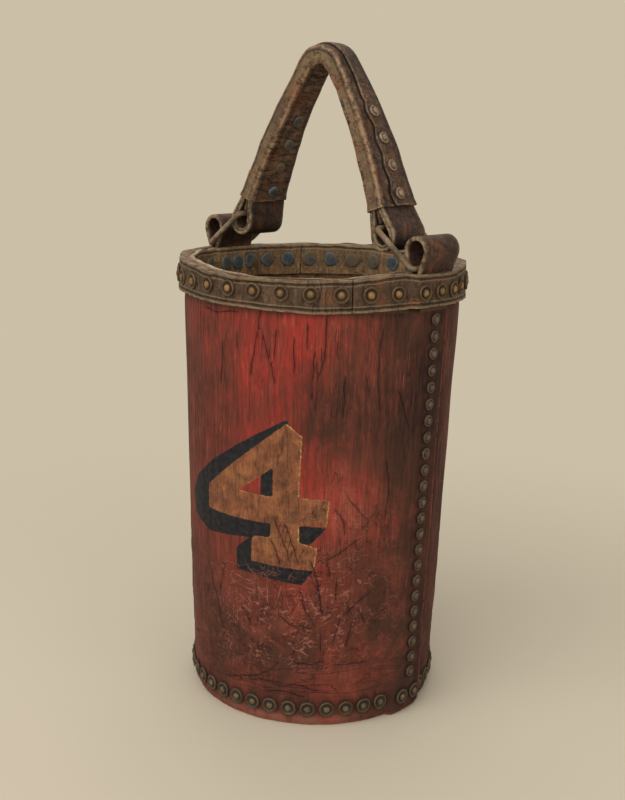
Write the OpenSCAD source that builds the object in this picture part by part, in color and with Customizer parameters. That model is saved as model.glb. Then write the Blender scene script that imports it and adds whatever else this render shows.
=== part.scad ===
// Leather fire bucket with a riveted rim band, a stuffed handle and two wire rings.
// The bucket axis is Z, the foot stands on Z = 0, and the two handle tabs are on the X axis.

/* [Bucket wall] */
// Height of the leather wall
body_h = 336; // [300:1:360]
// Outer radius of the wall at the foot
base_r = 94.5; // [90:0.5:98]
// Outer radius of the wall under the rim band
rim_r = 102.8; // [100:0.1:105]
// Thickness of the wall leather
wall_t = 3.6; // [3:0.1:4]
// Half angle of the lapped side seam
lap_half = 8.3; // [7.9:0.1:8.5]

/* [Bottom] */
// Height of the bottom disc above the floor
bottom_h = 26; // [25:0.5:27]
// Thickness of the bottom leather
bottom_t = 3.5; // [3:0.1:4]
// Radius of the turned corner of the bottom
bottom_corner = 5; // [4:0.5:7]

/* [Rim band] */
// Height of the two rim strips
band_h = 26; // [24:0.5:28]
// Thickness of the outer strip
band_t = 4; // [3.5:0.1:4.5]
// Thickness of the inner strip
lining_t = 3; // [2.5:0.1:3.5]
// Width of the butt joint in each strip
butt_gap = 0.8; // [0.5:0.1:1.2]

/* [Handle tabs] */
// Width of the folded tabs
tab_w = 38; // [37:0.5:39]
// Thickness of the tab leather
tab_t = 3; // [2.5:0.1:3.2]
// Radius inside the eye of a tab
tab_eye_r = 7.2; // [6.8:0.1:7.6]
// Height of a tab above the rim
tab_rise = 25; // [24:0.5:27]

/* [Wire rings] */
// Thickness of the ring wire
wire_d = 4.2; // [3.8:0.1:4.4]
// Bend radius at the corners of a ring
ring_corner = 4; // [3.5:0.1:4.5]

/* [Handle] */
// Height of the sleeve ends above the rim
sleeve_rise = 40; // [38:0.2:43]
// Lean of the handle legs from upright at the sleeve ends
end_lean = 20; // [18:0.5:22]
// Lean of the handle legs where the grip begins
top_lean = 35; // [33:0.5:37]
// Length of each bowed leg of the sleeve
leg_length = 111; // [107:1:114]
// Radius of the grip at its middle line
grip_r = 16; // [15:0.5:18]
// Width of the sleeve at its lower ends
sleeve_w = 40; // [38:0.5:41]
// Width of the sleeve at the grip
grip_w = 25; // [23:0.5:27]
// Thickness of the sleeve leather
sleeve_t = 1.5; // [1.3:0.1:1.7]
// Thickness of the strap
strap_t = 2.6; // [2.3:0.1:2.8]
// Thickness of the second ply in the handle loops
liner_t = 2; // [1.7:0.1:2.2]
// Thickness of the stuffing between the plies at a loop
stuffing_t = 2.6; // [2.3:0.1:3]
// Length that a strap end is lapped back inside the sleeve
strap_lap = 56; // [54:1:58]
// Radius inside the eye of a handle loop
loop_eye_r = 6.2; // [6:0.1:6.5]
// Reach from the sleeve end to the middle of the eye
loop_reach = 19; // [18:0.5:20]
// Reach from the sleeve end to the ring bar
bar_reach = 13; // [12:0.5:14]

/* [Rivets] */
// Radius of every rivet shank
shank_r = 2; // [1.8:0.1:2.2]
// Radius of the large washers on the rim and the base
big_washer_r = 6; // [5.5:0.1:6.2]
// Radius of the small washers on the seam and the handle
small_washer_r = 4.5; // [4.2:0.1:5]
// Height of the base row
base_row_z = 14; // [13.5:0.1:14.5]
// Number of seam rivets
seam_count = 23; // [20:1:23]
// Height of the lowest seam rivet
seam_low_z = 33; // [33:0.5:36]
// Number of rim rivets between the two tabs on each side
rim_between = 14; // [12:1:14]
// Angle from a tab's middle rivet to the one beside it
tab_rivet_angle = 8.5; // [8:0.1:8.6]
// Number of base rivets outside the seam
base_count = 40; // [36:1:40]
// Number of rivets in each handle leg
leg_rivets = 4; // [3:1:4]
// Distance between two handle rivets
leg_pitch = 20; // [18:0.5:21]
// Height of the first handle rivet above the sleeve end
leg_first = 8; // [7:0.5:9]

/* [Hidden] */
$fn = 96;

// Farther out than any piece that a cut has to clear
far = 2 * rim_r;
// How far a cut runs past what it cuts, and a small overlap of shapes that are joined
through = 1;
overlap = 0.01;

// Clearances
fit = 0.1;          // between pieces that are clamped together
running_gap = 0.3;  // between a ring bar and what carries it
side_gap = 1.1;     // between a ring and the side of a tab

// Wall
band_z = body_h - band_h;
straight_z = band_z - 1;
wall_slope = (rim_r - base_r) / straight_z;
wall_tilt = atan(wall_slope);
wall_mid_r = rim_r - wall_t / 2;
ply_step = wall_t + fit;
jog_start = lap_half + 0.5;
jog_angle = 2.7;
jog_steps = 5;
jog_skin = 0.05;
function wall_r(z) = base_r + wall_slope * min(z, straight_z);

// Rim band and tab tails, as radii
tail_out_r = rim_r + fit + tab_t;
tail_in_r = rim_r - wall_t - fit - tab_t;
band_r = rim_r + fit + band_t;
lining_r = rim_r - wall_t - fit - lining_t;
bump_r = tail_out_r + fit + band_t;
lining_bump_r = tail_in_r - fit - lining_t;
bump_room = 1;      // on each side of a tab tail
bump_ramp = 6;
bump_bite = 4;      // how far the bump's outline reaches into the strip and past it
butt_angle = -37;
tail_drop = 2;

// Tab eyes
tab_outer_r = tab_eye_r + tab_t;
tab_eye_z = body_h + tab_rise - tab_outer_r;
tab_bar_z = body_h + wire_d / 2 + running_gap;

// Handle, in the plane of its two legs
layer_in = stuffing_t / 2 + fit;
layer_mid = layer_in + liner_t;
layer_out = layer_mid + fit + strap_t;
cavity_half = layer_out + fit;
sleeve_half = cavity_half + sleeve_t;
flap_t = 1.5;
flap_share = 0.17;
flap_bevel = 0.4;
sleeve_corner = 4;
cavity_corner = 0.4;
cavity_reach = 5;   // how far the cavity is cut past the sleeve's ends
leg_steps = 8;
grip_steps = 16;
leg_end_z = body_h + sleeve_rise;
// Each leg is an arc whose lean grows from the sleeve end to the grip
bow_r = leg_length / ((top_lean - end_lean) * PI / 180);
leg_end_x = grip_r * cos(top_lean) + bow_r * (cos(end_lean) - cos(top_lean));
grip_z = leg_end_z + bow_r * (sin(top_lean) - sin(end_lean)) - grip_r * sin(top_lean);
handle_top = grip_z + grip_r + sleeve_half + flap_t;
bar_x = leg_end_x + bar_reach * sin(end_lean);
bar_z = leg_end_z - bar_reach * cos(end_lean);
function lean_at(height) = end_lean + (top_lean - end_lean) * height / leg_length;
function leg_point(height, out) =
    let (lean = lean_at(height))
    [leg_end_x + (bow_r + out) * cos(lean) - bow_r * cos(end_lean),
     leg_end_z + (bow_r + out) * sin(lean) - bow_r * sin(end_lean)];
strap_side = 0.5;
lap_room = 1;
function sleeve_half_w(z) =
    let (share = min(1, max(0, (z - leg_end_z) / (grip_z - leg_end_z))))
    (sleeve_w + (grip_w - sleeve_w) * share) / 2;

// Rings
ring_half_w = tab_w / 2 + side_gap + wire_d / 2;
ring_span = norm([wall_mid_r - bar_x, bar_z - tab_bar_z]);
ring_rise = atan2(bar_z - tab_bar_z, wall_mid_r - bar_x);

// Rivets, measured from the leather that the washer lies on
bore_r = shank_r + fit;
bore_reach = 10;
washer_edge = 0.5;     // bevel under the rim of a washer
washer_side = 1.4;     // height of its side
washer_lip = 1.9;      // height of its lip
washer_crest = 0.8;    // from its side to the lip
washer_cup = 1.5;      // from its side to where the cup begins, and the cup's depth there
washer_floor = 0.9;
dome_h = 1.7;
dome_side = 0.9;
head_t = 1.4;
rim_row_z = band_z + band_h / 2;
seam_top_z = band_z - small_washer_r - 2.5;
seam_pitch = (seam_top_z - seam_low_z) / (seam_count - 1);
base_gap_left = jog_start + jog_angle + 3.7;   // clears the washer beside the jog
base_gap_right = lap_half + 4;                 // and the one beside the free edge
rim_pitch = (180 - 2 * tab_rivet_angle) / (rim_between + 1);
tab_angles = [for (side = [0, 180], k = [-1 : 1]) side + k * tab_rivet_angle];
plain_rim_angles = [for (side = [0, 180], k = [1 : rim_between])
    side + tab_rivet_angle + k * rim_pitch];
base_angles = [for (k = [0 : base_count - 1])
    base_gap_right + k * (360 - base_gap_left - base_gap_right) / (base_count - 1)];
lap_angles = [-lap_half / 2, lap_half / 2];
function sagitta(r, half) = r - sqrt(r * r - half * half);

// Solid swept through a list of rings of points, all with the same count
module swept(rings) {
    count = len(rings[0]);
    last = (len(rings) - 1) * count;
    polyhedron(
        points = [for (ring = rings) each ring],
        faces = concat(
            [for (i = [0 : len(rings) - 2], j = [0 : count - 1], half = [0, 1])
                let (a = i * count + j, b = i * count + (j + 1) % count)
                half == 0 ? [a, b, b + count] : [a, b + count, a + count]],
            [[for (j = [count - 1 : -1 : 0]) j]],
            [[for (j = [0 : count - 1]) last + j]]));
}

// Flat shape in the XZ plane, given thickness along Y
module along_y(width) {
    rotate([90, 0, 0]) linear_extrude(width, center = true) children();
}

// Places children on the wall at an angle and a height, with Z along the outward normal
module on_wall(angle, radius, z, tilt = 0) {
    rotate([0, 0, angle]) translate([radius, 0, z]) rotate([0, 90 + tilt, 0]) children();
}

// Places children on the middle line of one handle leg, with Z along the outward normal
module on_leg(side, height) {
    place = leg_point(height, 0);
    mirror([side < 0 ? 1 : 0, 0, 0])
        translate([place[0], 0, place[1]]) rotate([0, 90 - lean_at(height), 0]) children();
}

// Rivet with a flat head under the leather and a peened dome over its washer
module rivet(grip, head_r, sink) {
    rotate_extrude() polygon([
        [0, -grip - sink - head_t],
        [head_r * 0.8, -grip - sink - head_t],
        [head_r, -grip - sink - head_t * 0.5],
        [head_r, -grip - sink],
        [shank_r, -grip - sink],
        [shank_r, washer_floor + fit],
        [shank_r + dome_side, washer_floor + fit],
        [shank_r + dome_side * 0.7, washer_floor + dome_h * 0.6],
        [shank_r * 0.6, washer_floor + dome_h],
        [0, washer_floor + dome_h * 1.08]]);
}

// Cupped washer with a raised lip
module washer(radius) {
    rotate_extrude() polygon([
        [bore_r, 0],
        [radius - washer_edge, 0],
        [radius, washer_edge],
        [radius - washer_edge * 0.4, washer_side],
        [radius - washer_crest, washer_lip],
        [radius - washer_cup, washer_cup],
        [shank_r + dome_side, washer_floor],
        [bore_r, washer_floor]]);
}

module bore(grip) {
    translate([0, 0, -grip - bore_reach]) cylinder(r = bore_r, h = grip + 2 * bore_reach);
}

// Rows of rivets: each stack starts at the outer face that its washer lies on
module seam_row() {
    for (k = [0 : seam_count - 1])
        let (z = seam_low_z + k * seam_pitch)
            on_wall(0, wall_r(z) + ply_step, z, wall_tilt) children();
}

module base_row_plain() {
    for (a = base_angles) on_wall(a, wall_r(base_row_z), base_row_z, wall_tilt) children();
}

module base_row_lap() {
    for (a = lap_angles)
        on_wall(a, wall_r(base_row_z) + ply_step, base_row_z, wall_tilt) children();
}

module rim_row_plain() {
    for (a = plain_rim_angles) on_wall(a, band_r, rim_row_z) children();
}

module rim_row_tabs() {
    for (a = tab_angles) on_wall(a, bump_r, rim_row_z) children();
}

module rim_bores() {
    rim_row_plain() bore(band_r - lining_r);
    rim_row_tabs() bore(bump_r - lining_bump_r);
}

module leg_row(side) {
    for (k = [0 : leg_rivets - 1])
        on_leg(side, leg_first + k * leg_pitch)
            translate([0, 0, sleeve_half + flap_t]) children();
}

leg_grip = 2 * sleeve_half + flap_t;
leg_sink = sagitta(bow_r, leg_length / leg_steps / 2);
base_grip = wall_t + fit + bottom_t;

// Wall: one sheet rolled round and lapped over itself at the seam
function wall_section(outset, top) = [
    [base_r - wall_t + outset, 0],
    [base_r + outset, 0],
    [wall_r(top) + outset, top],
    [wall_r(top) - wall_t + outset, top]];

module sector(from, to, height) {
    linear_extrude(height) polygon([
        [0, 0], [far * cos(from), far * sin(from)], [far * cos(to), far * sin(to)]]);
}

// The jog leads from the inner ply to the outer one, and its ends are let into both by one step
function jog_ring(share, top) =
    let (
        angle = -jog_start - jog_angle * (1 - share),
        part = min(1, max(0, share)),
        outset = ply_step * part * part * (3 - 2 * part),
        foot_in = base_r - wall_t + outset + jog_skin,
        foot_out = base_r + outset - jog_skin,
        top_out = wall_r(top) + outset - jog_skin,
        top_in = wall_r(top) - wall_t + outset + jog_skin)
    [for (p = [[foot_in, jog_skin], [foot_out, jog_skin],
            [top_out, top - jog_skin], [top_in, top - jog_skin]])
        [p[0] * cos(angle), p[0] * sin(angle), p[1]]];

module body_wall() color("firebrick") difference() {
    ply_top = straight_z - running_gap;
    union() {
        difference() {
            rotate_extrude() polygon([
                [base_r - wall_t, 0], [base_r, 0], [rim_r, straight_z], [rim_r, body_h],
                [rim_r - wall_t, body_h], [rim_r - wall_t, straight_z]]);
            translate([0, 0, -through]) sector(-jog_start - jog_angle, -lap_half, straight_z + through);
        }
        swept([for (k = [-1 : jog_steps + 1]) jog_ring(k / jog_steps, ply_top)]);
        rotate([0, 0, -jog_start])
            rotate_extrude(angle = jog_start + lap_half) polygon(wall_section(ply_step, ply_top));
    }
    seam_row() bore(2 * wall_t + fit);
    base_row_plain() bore(base_grip);
    base_row_lap() bore(base_grip + ply_step);
    rim_bores();
}

// Bottom: a leather cup with its flange turned down inside the wall
function quarter(cx, cz, r, from, to, steps) =
    [for (k = [0 : steps]) let (a = from + (to - from) * k / steps) [cx + r * cos(a), cz + r * sin(a)]];

module bottom_cup() color("saddlebrown") difference() {
    flange_low = base_r - wall_t - fit;
    flange_high = wall_r(bottom_h - bottom_corner) - wall_t - fit;
    inner_corner = bottom_corner - bottom_t;
    rotate_extrude() polygon(concat(
        [[0, bottom_h - bottom_t]],
        quarter(flange_high - bottom_corner, bottom_h - bottom_corner, inner_corner, 90, 0, 4),
        [[flange_low - bottom_t, 0], [flange_low, 0]],
        quarter(flange_high - bottom_corner, bottom_h - bottom_corner, bottom_corner, 0, 90, 8),
        [[0, bottom_h]]));
    base_row_plain() bore(base_grip);
    base_row_lap() bore(base_grip + ply_step);
}

// Rim strips, with a bump where they run over the tab tails
module bump_side(radius, depth) {
    half = tab_w / 2 + bump_room;
    foot = half + bump_ramp;
    foot_x = sqrt(radius * radius - foot * foot);
    top_x = sqrt(pow(radius + depth, 2) - half * half);
    polygon([
        [foot_x - bump_bite, -foot], [foot_x, -foot], [top_x, -half], [radius + depth + bump_bite, -half],
        [radius + depth + bump_bite, half], [top_x, half], [foot_x, foot], [foot_x - bump_bite, foot]]);
}

module both_sides() {
    children();
    rotate(180) children();
}

module band_outline() {
    difference() {
        union() {
            circle(r = band_r);
            both_sides() intersection() {
                circle(r = bump_r);
                bump_side(band_r, bump_r - band_r);
            }
        }
        circle(r = rim_r + fit);
        both_sides() intersection() {
            circle(r = tail_out_r + fit);
            translate([0, -tab_w / 2 - 2 * fit]) square([far, tab_w + 4 * fit]);
        }
        rotate(butt_angle) translate([0, -butt_gap / 2]) square([far, butt_gap]);
    }
}

module rim_band_outer() color("saddlebrown") difference() {
    translate([0, 0, band_z]) linear_extrude(band_h) band_outline();
    rim_bores();
}

module lining_outline() {
    shoulder = tab_w / 2 + 2 * fit;
    difference() {
        circle(r = rim_r - wall_t - fit);
        difference() {
            circle(r = lining_r);
            both_sides() translate([lining_bump_r, -shoulder - lining_t])
                square([far, 2 * shoulder + 2 * lining_t]);
        }
        both_sides() difference() {
            translate([0, -shoulder]) square([far, 2 * shoulder]);
            circle(r = tail_in_r - fit);
        }
        both_sides() intersection() {
            circle(r = lining_bump_r);
            translate([0, -shoulder - lining_t - through])
                square([far, 2 * (shoulder + lining_t + through)]);
        }
        rotate(butt_angle + 180) translate([0, -butt_gap / 2]) square([far, butt_gap]);
    }
}

module rim_band_inner() color("sienna") difference() {
    translate([0, 0, band_z]) linear_extrude(band_h) lining_outline();
    rim_bores();
}

// Rows of rivets and washers
module seam_rivets() color("peru")
    seam_row() rivet(2 * wall_t + fit, small_washer_r,
        sagitta(wall_r(seam_low_z) - wall_t, small_washer_r));

module seam_washers() color("darkgoldenrod") seam_row() washer(small_washer_r);

module base_rivets() color("peru") {
    sink = sagitta(base_r - base_grip, big_washer_r);
    base_row_plain() rivet(base_grip, big_washer_r, sink);
    base_row_lap() rivet(base_grip + ply_step, big_washer_r, sink);
}

module base_washers() color("darkgoldenrod") {
    base_row_plain() washer(big_washer_r);
    base_row_lap() washer(big_washer_r);
}

module rim_rivets() color("lightsteelblue") {
    rim_row_plain() rivet(band_r - lining_r, big_washer_r, sagitta(lining_r, big_washer_r));
    rim_row_tabs()
        rivet(bump_r - lining_bump_r, big_washer_r, sagitta(lining_bump_r, big_washer_r));
}

module rim_washers() color("darkgoldenrod") {
    rim_row_plain() washer(big_washer_r);
    rim_row_tabs() washer(big_washer_r);
}

// Eye of a folded strap: two straight plies that part round a circle.
// half is the half width at the mouth, and reach is how far the circle lies above it.
function eye_points(half, radius, reach, steps = 28) =
    let (
        away = norm([half, reach]),
        lean = asin(radius / away) - atan2(half, reach))
    concat(
        [[half, 0]],
        [for (k = [0 : steps]) let (a = -lean + (180 + 2 * lean) * k / steps)
            [radius * cos(a), reach + radius * sin(a)]],
        [[-half, 0]]);

module eye_ring(half, radius, thickness, reach) {
    difference() {
        polygon(eye_points(half + thickness, radius + thickness, reach));
        translate([0, -overlap]) polygon(eye_points(half, radius, reach + overlap));
    }
}

// Tab: a strap folded over a ring bar, with one tail on each side of the wall
module tab_tail(inner, outer) {
    tail_h = band_h - tail_drop + 2 * fit;
    translate([0, 0, band_z + tail_drop]) linear_extrude(tail_h) intersection() {
        difference() {
            circle(r = outer);
            circle(r = inner);
        }
        translate([0, -tab_w / 2]) square([far, tab_w]);
    }
}

module tab() difference() {
    union() {
        translate([wall_mid_r, 0, body_h + fit]) along_y(tab_w)
            eye_ring(wall_t / 2 + fit, tab_eye_r, tab_t, tab_eye_z - body_h - fit);
        tab_tail(rim_r + fit, tail_out_r);
        tab_tail(tail_in_r, rim_r - wall_t - fit);
    }
    rim_bores();
}

module tab_left() color("sienna") mirror([1, 0, 0]) tab();

module tab_right() color("sienna") tab();

// Ring: round wire bent to a rounded oblong, with one bar in each strap eye
module ring_wire() {
    straight_y = ring_half_w - ring_corner;
    straight_x = ring_span - 2 * ring_corner;
    for (x = [0, ring_span])
        translate([x, -straight_y, 0]) rotate([-90, 0, 0]) cylinder(d = wire_d, h = 2 * straight_y);
    for (side = [-1, 1])
        translate([ring_corner, side * ring_half_w, 0])
            rotate([0, 90, 0]) cylinder(d = wire_d, h = straight_x);
    for (x = [0, 1], side = [0, 1])
        translate([ring_corner + x * straight_x, (2 * side - 1) * straight_y, 0])
            rotate([0, 0, x == 1 ? (side == 1 ? 0 : -90) : (side == 1 ? 90 : 180)])
                rotate_extrude(angle = 90) translate([ring_corner, 0]) circle(d = wire_d);
}

module ring_placed() {
    translate([wall_mid_r, 0, tab_bar_z]) rotate([0, -ring_rise, 180]) ring_wire();
}

module ring_left() color("dimgray") mirror([1, 0, 0]) ring_placed();

module ring_right() color("dimgray") ring_placed();

// Handle layers, drawn flat for the right leg with the leg end at the origin.
// In this frame Y points up the leg and X points to the outside of the handle.
module in_leg() {
    translate([leg_end_x, leg_end_z]) rotate(end_lean) children();
}

// Layer of a leg between two distances out from its middle line
module ply(inner, outer, from, to) {
    heights = [for (k = [0 : leg_steps]) from + (to - from) * k / leg_steps];
    polygon(concat(
        [for (h = heights) leg_point(h, outer)],
        [for (k = [leg_steps : -1 : 0]) leg_point(heights[k], inner)]));
}

module both_legs() {
    children();
    mirror([1, 0]) children();
}

module grip_arc(inner, outer) {
    intersection() {
        translate([0, grip_z]) difference() {
            circle(r = grip_r + outer);
            circle(r = grip_r + inner);
        }
        translate([0, grip_z]) polygon([
            [0, 0],
            [far * cos(top_lean), far * sin(top_lean)],
            [0, 2 * far],
            [-far * cos(top_lean), far * sin(top_lean)]]);
    }
}

// Trims a handle layer to the width of the sleeve's cavity
module trimmed() {
    half_low = sleeve_half_w(leg_end_z) - sleeve_t - strap_side;
    half_high = sleeve_half_w(grip_z) - sleeve_t - strap_side;
    intersection() {
        along_y(2 * sleeve_w) children();
        rotate([90, 0, 90]) linear_extrude(2 * far, center = true) polygon([
            [-half_low, 0], [half_low, 0],
            [half_low, leg_end_z], [half_high, grip_z],
            [half_high, handle_top + far], [-half_high, handle_top + far],
            [-half_high, grip_z], [-half_low, leg_end_z]]);
    }
}

module leg_bores() {
    for (side = [-1, 1]) leg_row(side) bore(leg_grip);
}

module handle_strap() color("saddlebrown") difference() {
    trimmed() {
        grip_arc(layer_mid + fit, layer_out);
        both_legs() {
            ply(layer_mid + fit, layer_out, -overlap, leg_length + overlap);
            ply(-layer_out, -layer_mid - fit, -overlap, strap_lap);
            in_leg() mirror([0, 1])
                eye_ring(layer_mid + fit, loop_eye_r + liner_t + fit, strap_t, loop_reach);
        }
    }
    leg_bores();
}

module loop_liner() difference() {
    trimmed() {
        for (inner = [layer_in, -layer_mid])
            ply(inner, inner + liner_t, -overlap, strap_lap - leg_pitch);
        in_leg() mirror([0, 1]) eye_ring(layer_in, loop_eye_r, liner_t, loop_reach);
    }
    leg_bores();
}

module loop_liner_left() color("peru") mirror([1, 0, 0]) loop_liner();

module loop_liner_right() color("peru") loop_liner();

module handle_core() color("tan") difference() {
    core_end = bar_reach - wire_d / 2 - running_gap;
    trimmed() {
        grip_arc(-cavity_half + fit, layer_mid);
        both_legs() {
            ply(-layer_out, layer_mid, strap_lap + lap_room, leg_length + overlap);
            ply(-stuffing_t / 2, stuffing_t / 2, -overlap, strap_lap + 2 * lap_room);
            in_leg() translate([-stuffing_t / 2, -core_end]) square([stuffing_t, core_end]);
        }
    }
    leg_bores();
}

// Sleeve: a leather tube with its free edge lapped over the outer face
function corner_points(cx, cy, r, from, steps) =
    [for (k = [0 : steps]) let (a = from + 90 * k / steps) [cx + r * cos(a), cy + r * sin(a)]];

function sleeve_section(half_w) =
    let (r = sleeve_corner, top = sleeve_half + flap_t, edge = -2 * half_w * flap_share)
    concat(
        corner_points(half_w - r, top - r, r, 0, 4),
        [[edge + flap_bevel, top], [edge, top - flap_t]],
        corner_points(-half_w + r, sleeve_half - r, r, 90, 4),
        corner_points(-half_w + r, -sleeve_half + r, r, 180, 4),
        corner_points(half_w - r, -sleeve_half + r, r, 270, 4));

function cavity_section(half_w) =
    let (r = cavity_corner, w = half_w - sleeve_t)
    concat(
        corner_points(w - r, cavity_half - r, r, 0, 1),
        corner_points(-w + r, cavity_half - r, r, 90, 1),
        corner_points(-w + r, -cavity_half + r, r, 180, 1),
        corner_points(w - r, -cavity_half + r, r, 270, 1));

// Follows the middle line from the right leg's end, or extra past it, to the left leg's
module sleeve_tube(extra, cavity) {
    legs = [for (k = [0 : leg_steps - 1])
        let (height = k == 0 ? -extra : k * leg_length / leg_steps, place = leg_point(height, 0))
        [place[0], place[1], lean_at(height)]];
    grip = [for (k = [0 : grip_steps])
        let (a = top_lean + (180 - 2 * top_lean) * k / grip_steps)
        [grip_r * cos(a), grip_z + grip_r * sin(a), a]];
    other = [for (k = [leg_steps - 1 : -1 : 0]) [-legs[k][0], legs[k][1], 180 - legs[k][2]]];
    swept([for (s = concat(legs, grip, other))
        let (half = sleeve_half_w(s[1]), section = cavity ? cavity_section(half) : sleeve_section(half))
        [for (p = section) [s[0] + p[1] * cos(s[2]), p[0], s[1] + p[1] * sin(s[2])]]]);
}

module handle_sleeve() color("saddlebrown") difference() {
    sleeve_tube(0, false);
    sleeve_tube(cavity_reach, true);
    leg_bores();
}

module handle_rivets(side) color("lightsteelblue")
    leg_row(side) rivet(leg_grip, small_washer_r, leg_sink);

module handle_washers(side) color("darkgoldenrod") leg_row(side) washer(small_washer_r);

body_wall();
bottom_cup();
rim_band_outer();
rim_band_inner();
seam_rivets();
seam_washers();
base_rivets();
base_washers();
rim_rivets();
rim_washers();
tab_left();
tab_right();
ring_left();
ring_right();
handle_strap();
loop_liner_left();
loop_liner_right();
handle_core();
handle_sleeve();
handle_rivets(-1);  // handle_rivets_left
handle_washers(-1);  // handle_washers_left
handle_rivets(1);  // handle_rivets_right
handle_washers(1);  // handle_washers_right
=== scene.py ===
"""Looks of an old leather fire bucket: painted hide, riveted rim, stuffed handle and wire rings.

Lengths are in metres. The bucket axis is Z and the two handle tabs lie on X.
Angles round the bucket are in degrees from +X, and the lapped seam is at 0.
"""

import math

import bmesh
import bpy
import numpy as np
from mathutils import Matrix


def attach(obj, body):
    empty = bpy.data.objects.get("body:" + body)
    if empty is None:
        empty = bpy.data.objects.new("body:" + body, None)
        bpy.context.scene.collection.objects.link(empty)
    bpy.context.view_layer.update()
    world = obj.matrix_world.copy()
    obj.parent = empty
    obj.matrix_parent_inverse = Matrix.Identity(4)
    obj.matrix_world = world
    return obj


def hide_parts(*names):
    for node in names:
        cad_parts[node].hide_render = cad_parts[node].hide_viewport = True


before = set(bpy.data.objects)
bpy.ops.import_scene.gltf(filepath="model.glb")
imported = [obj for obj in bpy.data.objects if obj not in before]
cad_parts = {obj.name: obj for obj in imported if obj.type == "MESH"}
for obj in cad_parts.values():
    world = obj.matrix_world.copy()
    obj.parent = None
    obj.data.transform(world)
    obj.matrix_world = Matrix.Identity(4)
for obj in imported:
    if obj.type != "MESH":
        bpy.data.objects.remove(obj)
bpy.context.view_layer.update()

# Bucket wall
BODY_H = 0.336
BASE_R = 0.0945
RIM_R = 0.1028
WALL_T = 0.0036
BAND_Z = 0.310              # lower edge of the rim strips
STRAIGHT_Z = 0.309          # the wall is upright from here up
FIT = 0.0001                # gap between pieces that are clamped together
PLY_STEP = WALL_T + FIT
LAP_HALF = 8.3
JOG_END = -8.8              # angle at which the outer ply has stepped over the inner one
BOTTOM_H = 0.026
BOTTOM_T = 0.0035
BOTTOM_CORNER = 0.005
BOTTOM_SPOKES = 120
FLAT_R = 0.0986             # radius at which the wall is measured when it is laid flat

# Rim strips
BAND_MID_R, BAND_T = 0.1049, 0.004
LINING_MID_R, LINING_T = 0.0976, 0.003
TAIL_STEP = 0.0031          # how far a strip stands out over a tab's tail
BUTT_ANGLE = -37.0
BUTT_HALF = 0.2
STRIP_ROWS = 420

# Handle tabs and their eyes
TAB_W = 0.038
TAB_T = 0.003
TAB_EYE_R = 0.0072
TAB_REACH = 0.0147
TAIL_HALF = 0.0034          # from the wall's middle to the middle of a tail
TAIL_LOW = 0.312
WALL_MID_R = 0.1010

# Handle
SLEEVE_END_Z = 0.376
END_LEAN = math.radians(20)
TOP_LEAN = math.radians(35)
LEG_LENGTH = 0.111
GRIP_R = 0.016              # of the bend at the top, along the middle of the sleeve
SLEEVE_HALF = 0.0077
FLAP_T = 0.0015
FLAP_SHARE = 0.34           # where the sleeve's free edge lies, of half its width
SLEEVE_W = 0.040
GRIP_W = 0.025
SLEEVE_T = 0.0015
SLEEVE_CORNER = 0.0034
LINING_DEPTH = 0.012        # how far the sleeve's inner face is shown inside its two ends
STRAP_T = 0.0026
LINER_T = 0.002
STRAP_HALF = 0.0048
LINER_HALF = 0.0024
STRAP_W = 0.036
STUFFING_T = 0.0026
STRAP_LOOP_R = 0.0096
LINER_LOOP_R = 0.0072
LOOP_REACH = 0.019
BAR_REACH = 0.013
BOW_R = LEG_LENGTH / (TOP_LEAN - END_LEAN)
GRIP_Z = SLEEVE_END_Z + BOW_R * (math.sin(TOP_LEAN) - math.sin(END_LEAN)) - GRIP_R * math.sin(TOP_LEAN)
LEG_END_X = GRIP_R * math.cos(TOP_LEAN) + BOW_R * (math.cos(END_LEAN) - math.cos(TOP_LEAN))

# Wire rings
WIRE_R = 0.0021
RING_HALF_W = 0.0222
RING_CORNER = 0.004
WIRE_STEP = 0.0018
TAB_BAR_Z = 0.3384
HANDLE_BAR_X = LEG_END_X + BAR_REACH * math.sin(END_LEAN)
HANDLE_BAR_Z = SLEEVE_END_Z - BAR_REACH * math.cos(END_LEAN)

# Rivets
SHANK_R = 0.002
BIG_R = 0.006
SMALL_R = 0.0045
HEAD_T = 0.0014
SEGMENTS = 18
SEAM_COUNT, SEAM_LOW, SEAM_TOP = 23, 0.033, 0.303
RIM_ROW_Z = 0.323
RIM_HEAD_R, TAB_HEAD_R = 0.0961, 0.093      # of the hollow faces that the rim's rivet heads lie on
TAB_RIVET_ANGLE = 8.5
RIM_BETWEEN = 14
BASE_ROW_Z = 0.014
BASE_COUNT, BASE_FIRST, BASE_LAST = 40, 12.3, 344.8
LAP_RIVET_ANGLE = 4.15
LEG_RIVETS, LEG_FIRST, LEG_PITCH = 4, 0.008, 0.020
SIDES = ((-1, "left"), (1, "right"))

# Camera, as the picture was taken: a 36 mm sensor on the frame's long side of 800 pixels
CAMERA_AROUND = math.radians(42)
CAMERA_AWAY = 0.860
CAMERA_HEIGHT = 0.436
CAMERA_PITCH = 0.2406
CAMERA_YAW = -0.0058
CAMERA_ROLL = 0.0268
FOCAL_PIXELS = 1144.9
LONG_SIDE_PIXELS = 800
SENSOR = 36.0

# Floor, backdrop and light
CREAM = (203, 191, 168)
SHADOW_R, PLAIN_R = 0.35, 0.75      # the floor turns from lit paper to the plain background between these
FLOOR_R = 12
FLOOR_DROP = 0.0003
WORLD_LIGHT = (1.0, 0.98, 0.95, 1.0)
WORLD_STRENGTH = 0.54
LAMP_TARGET_Z = 0.22


def placed(x_axis, y_axis, z_axis, spot):
    """The matrix of something with these axes, at spot."""
    return Matrix([[x_axis[r], y_axis[r], z_axis[r], spot[r]] for r in range(3)] + [[0, 0, 0, 1]])


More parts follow.
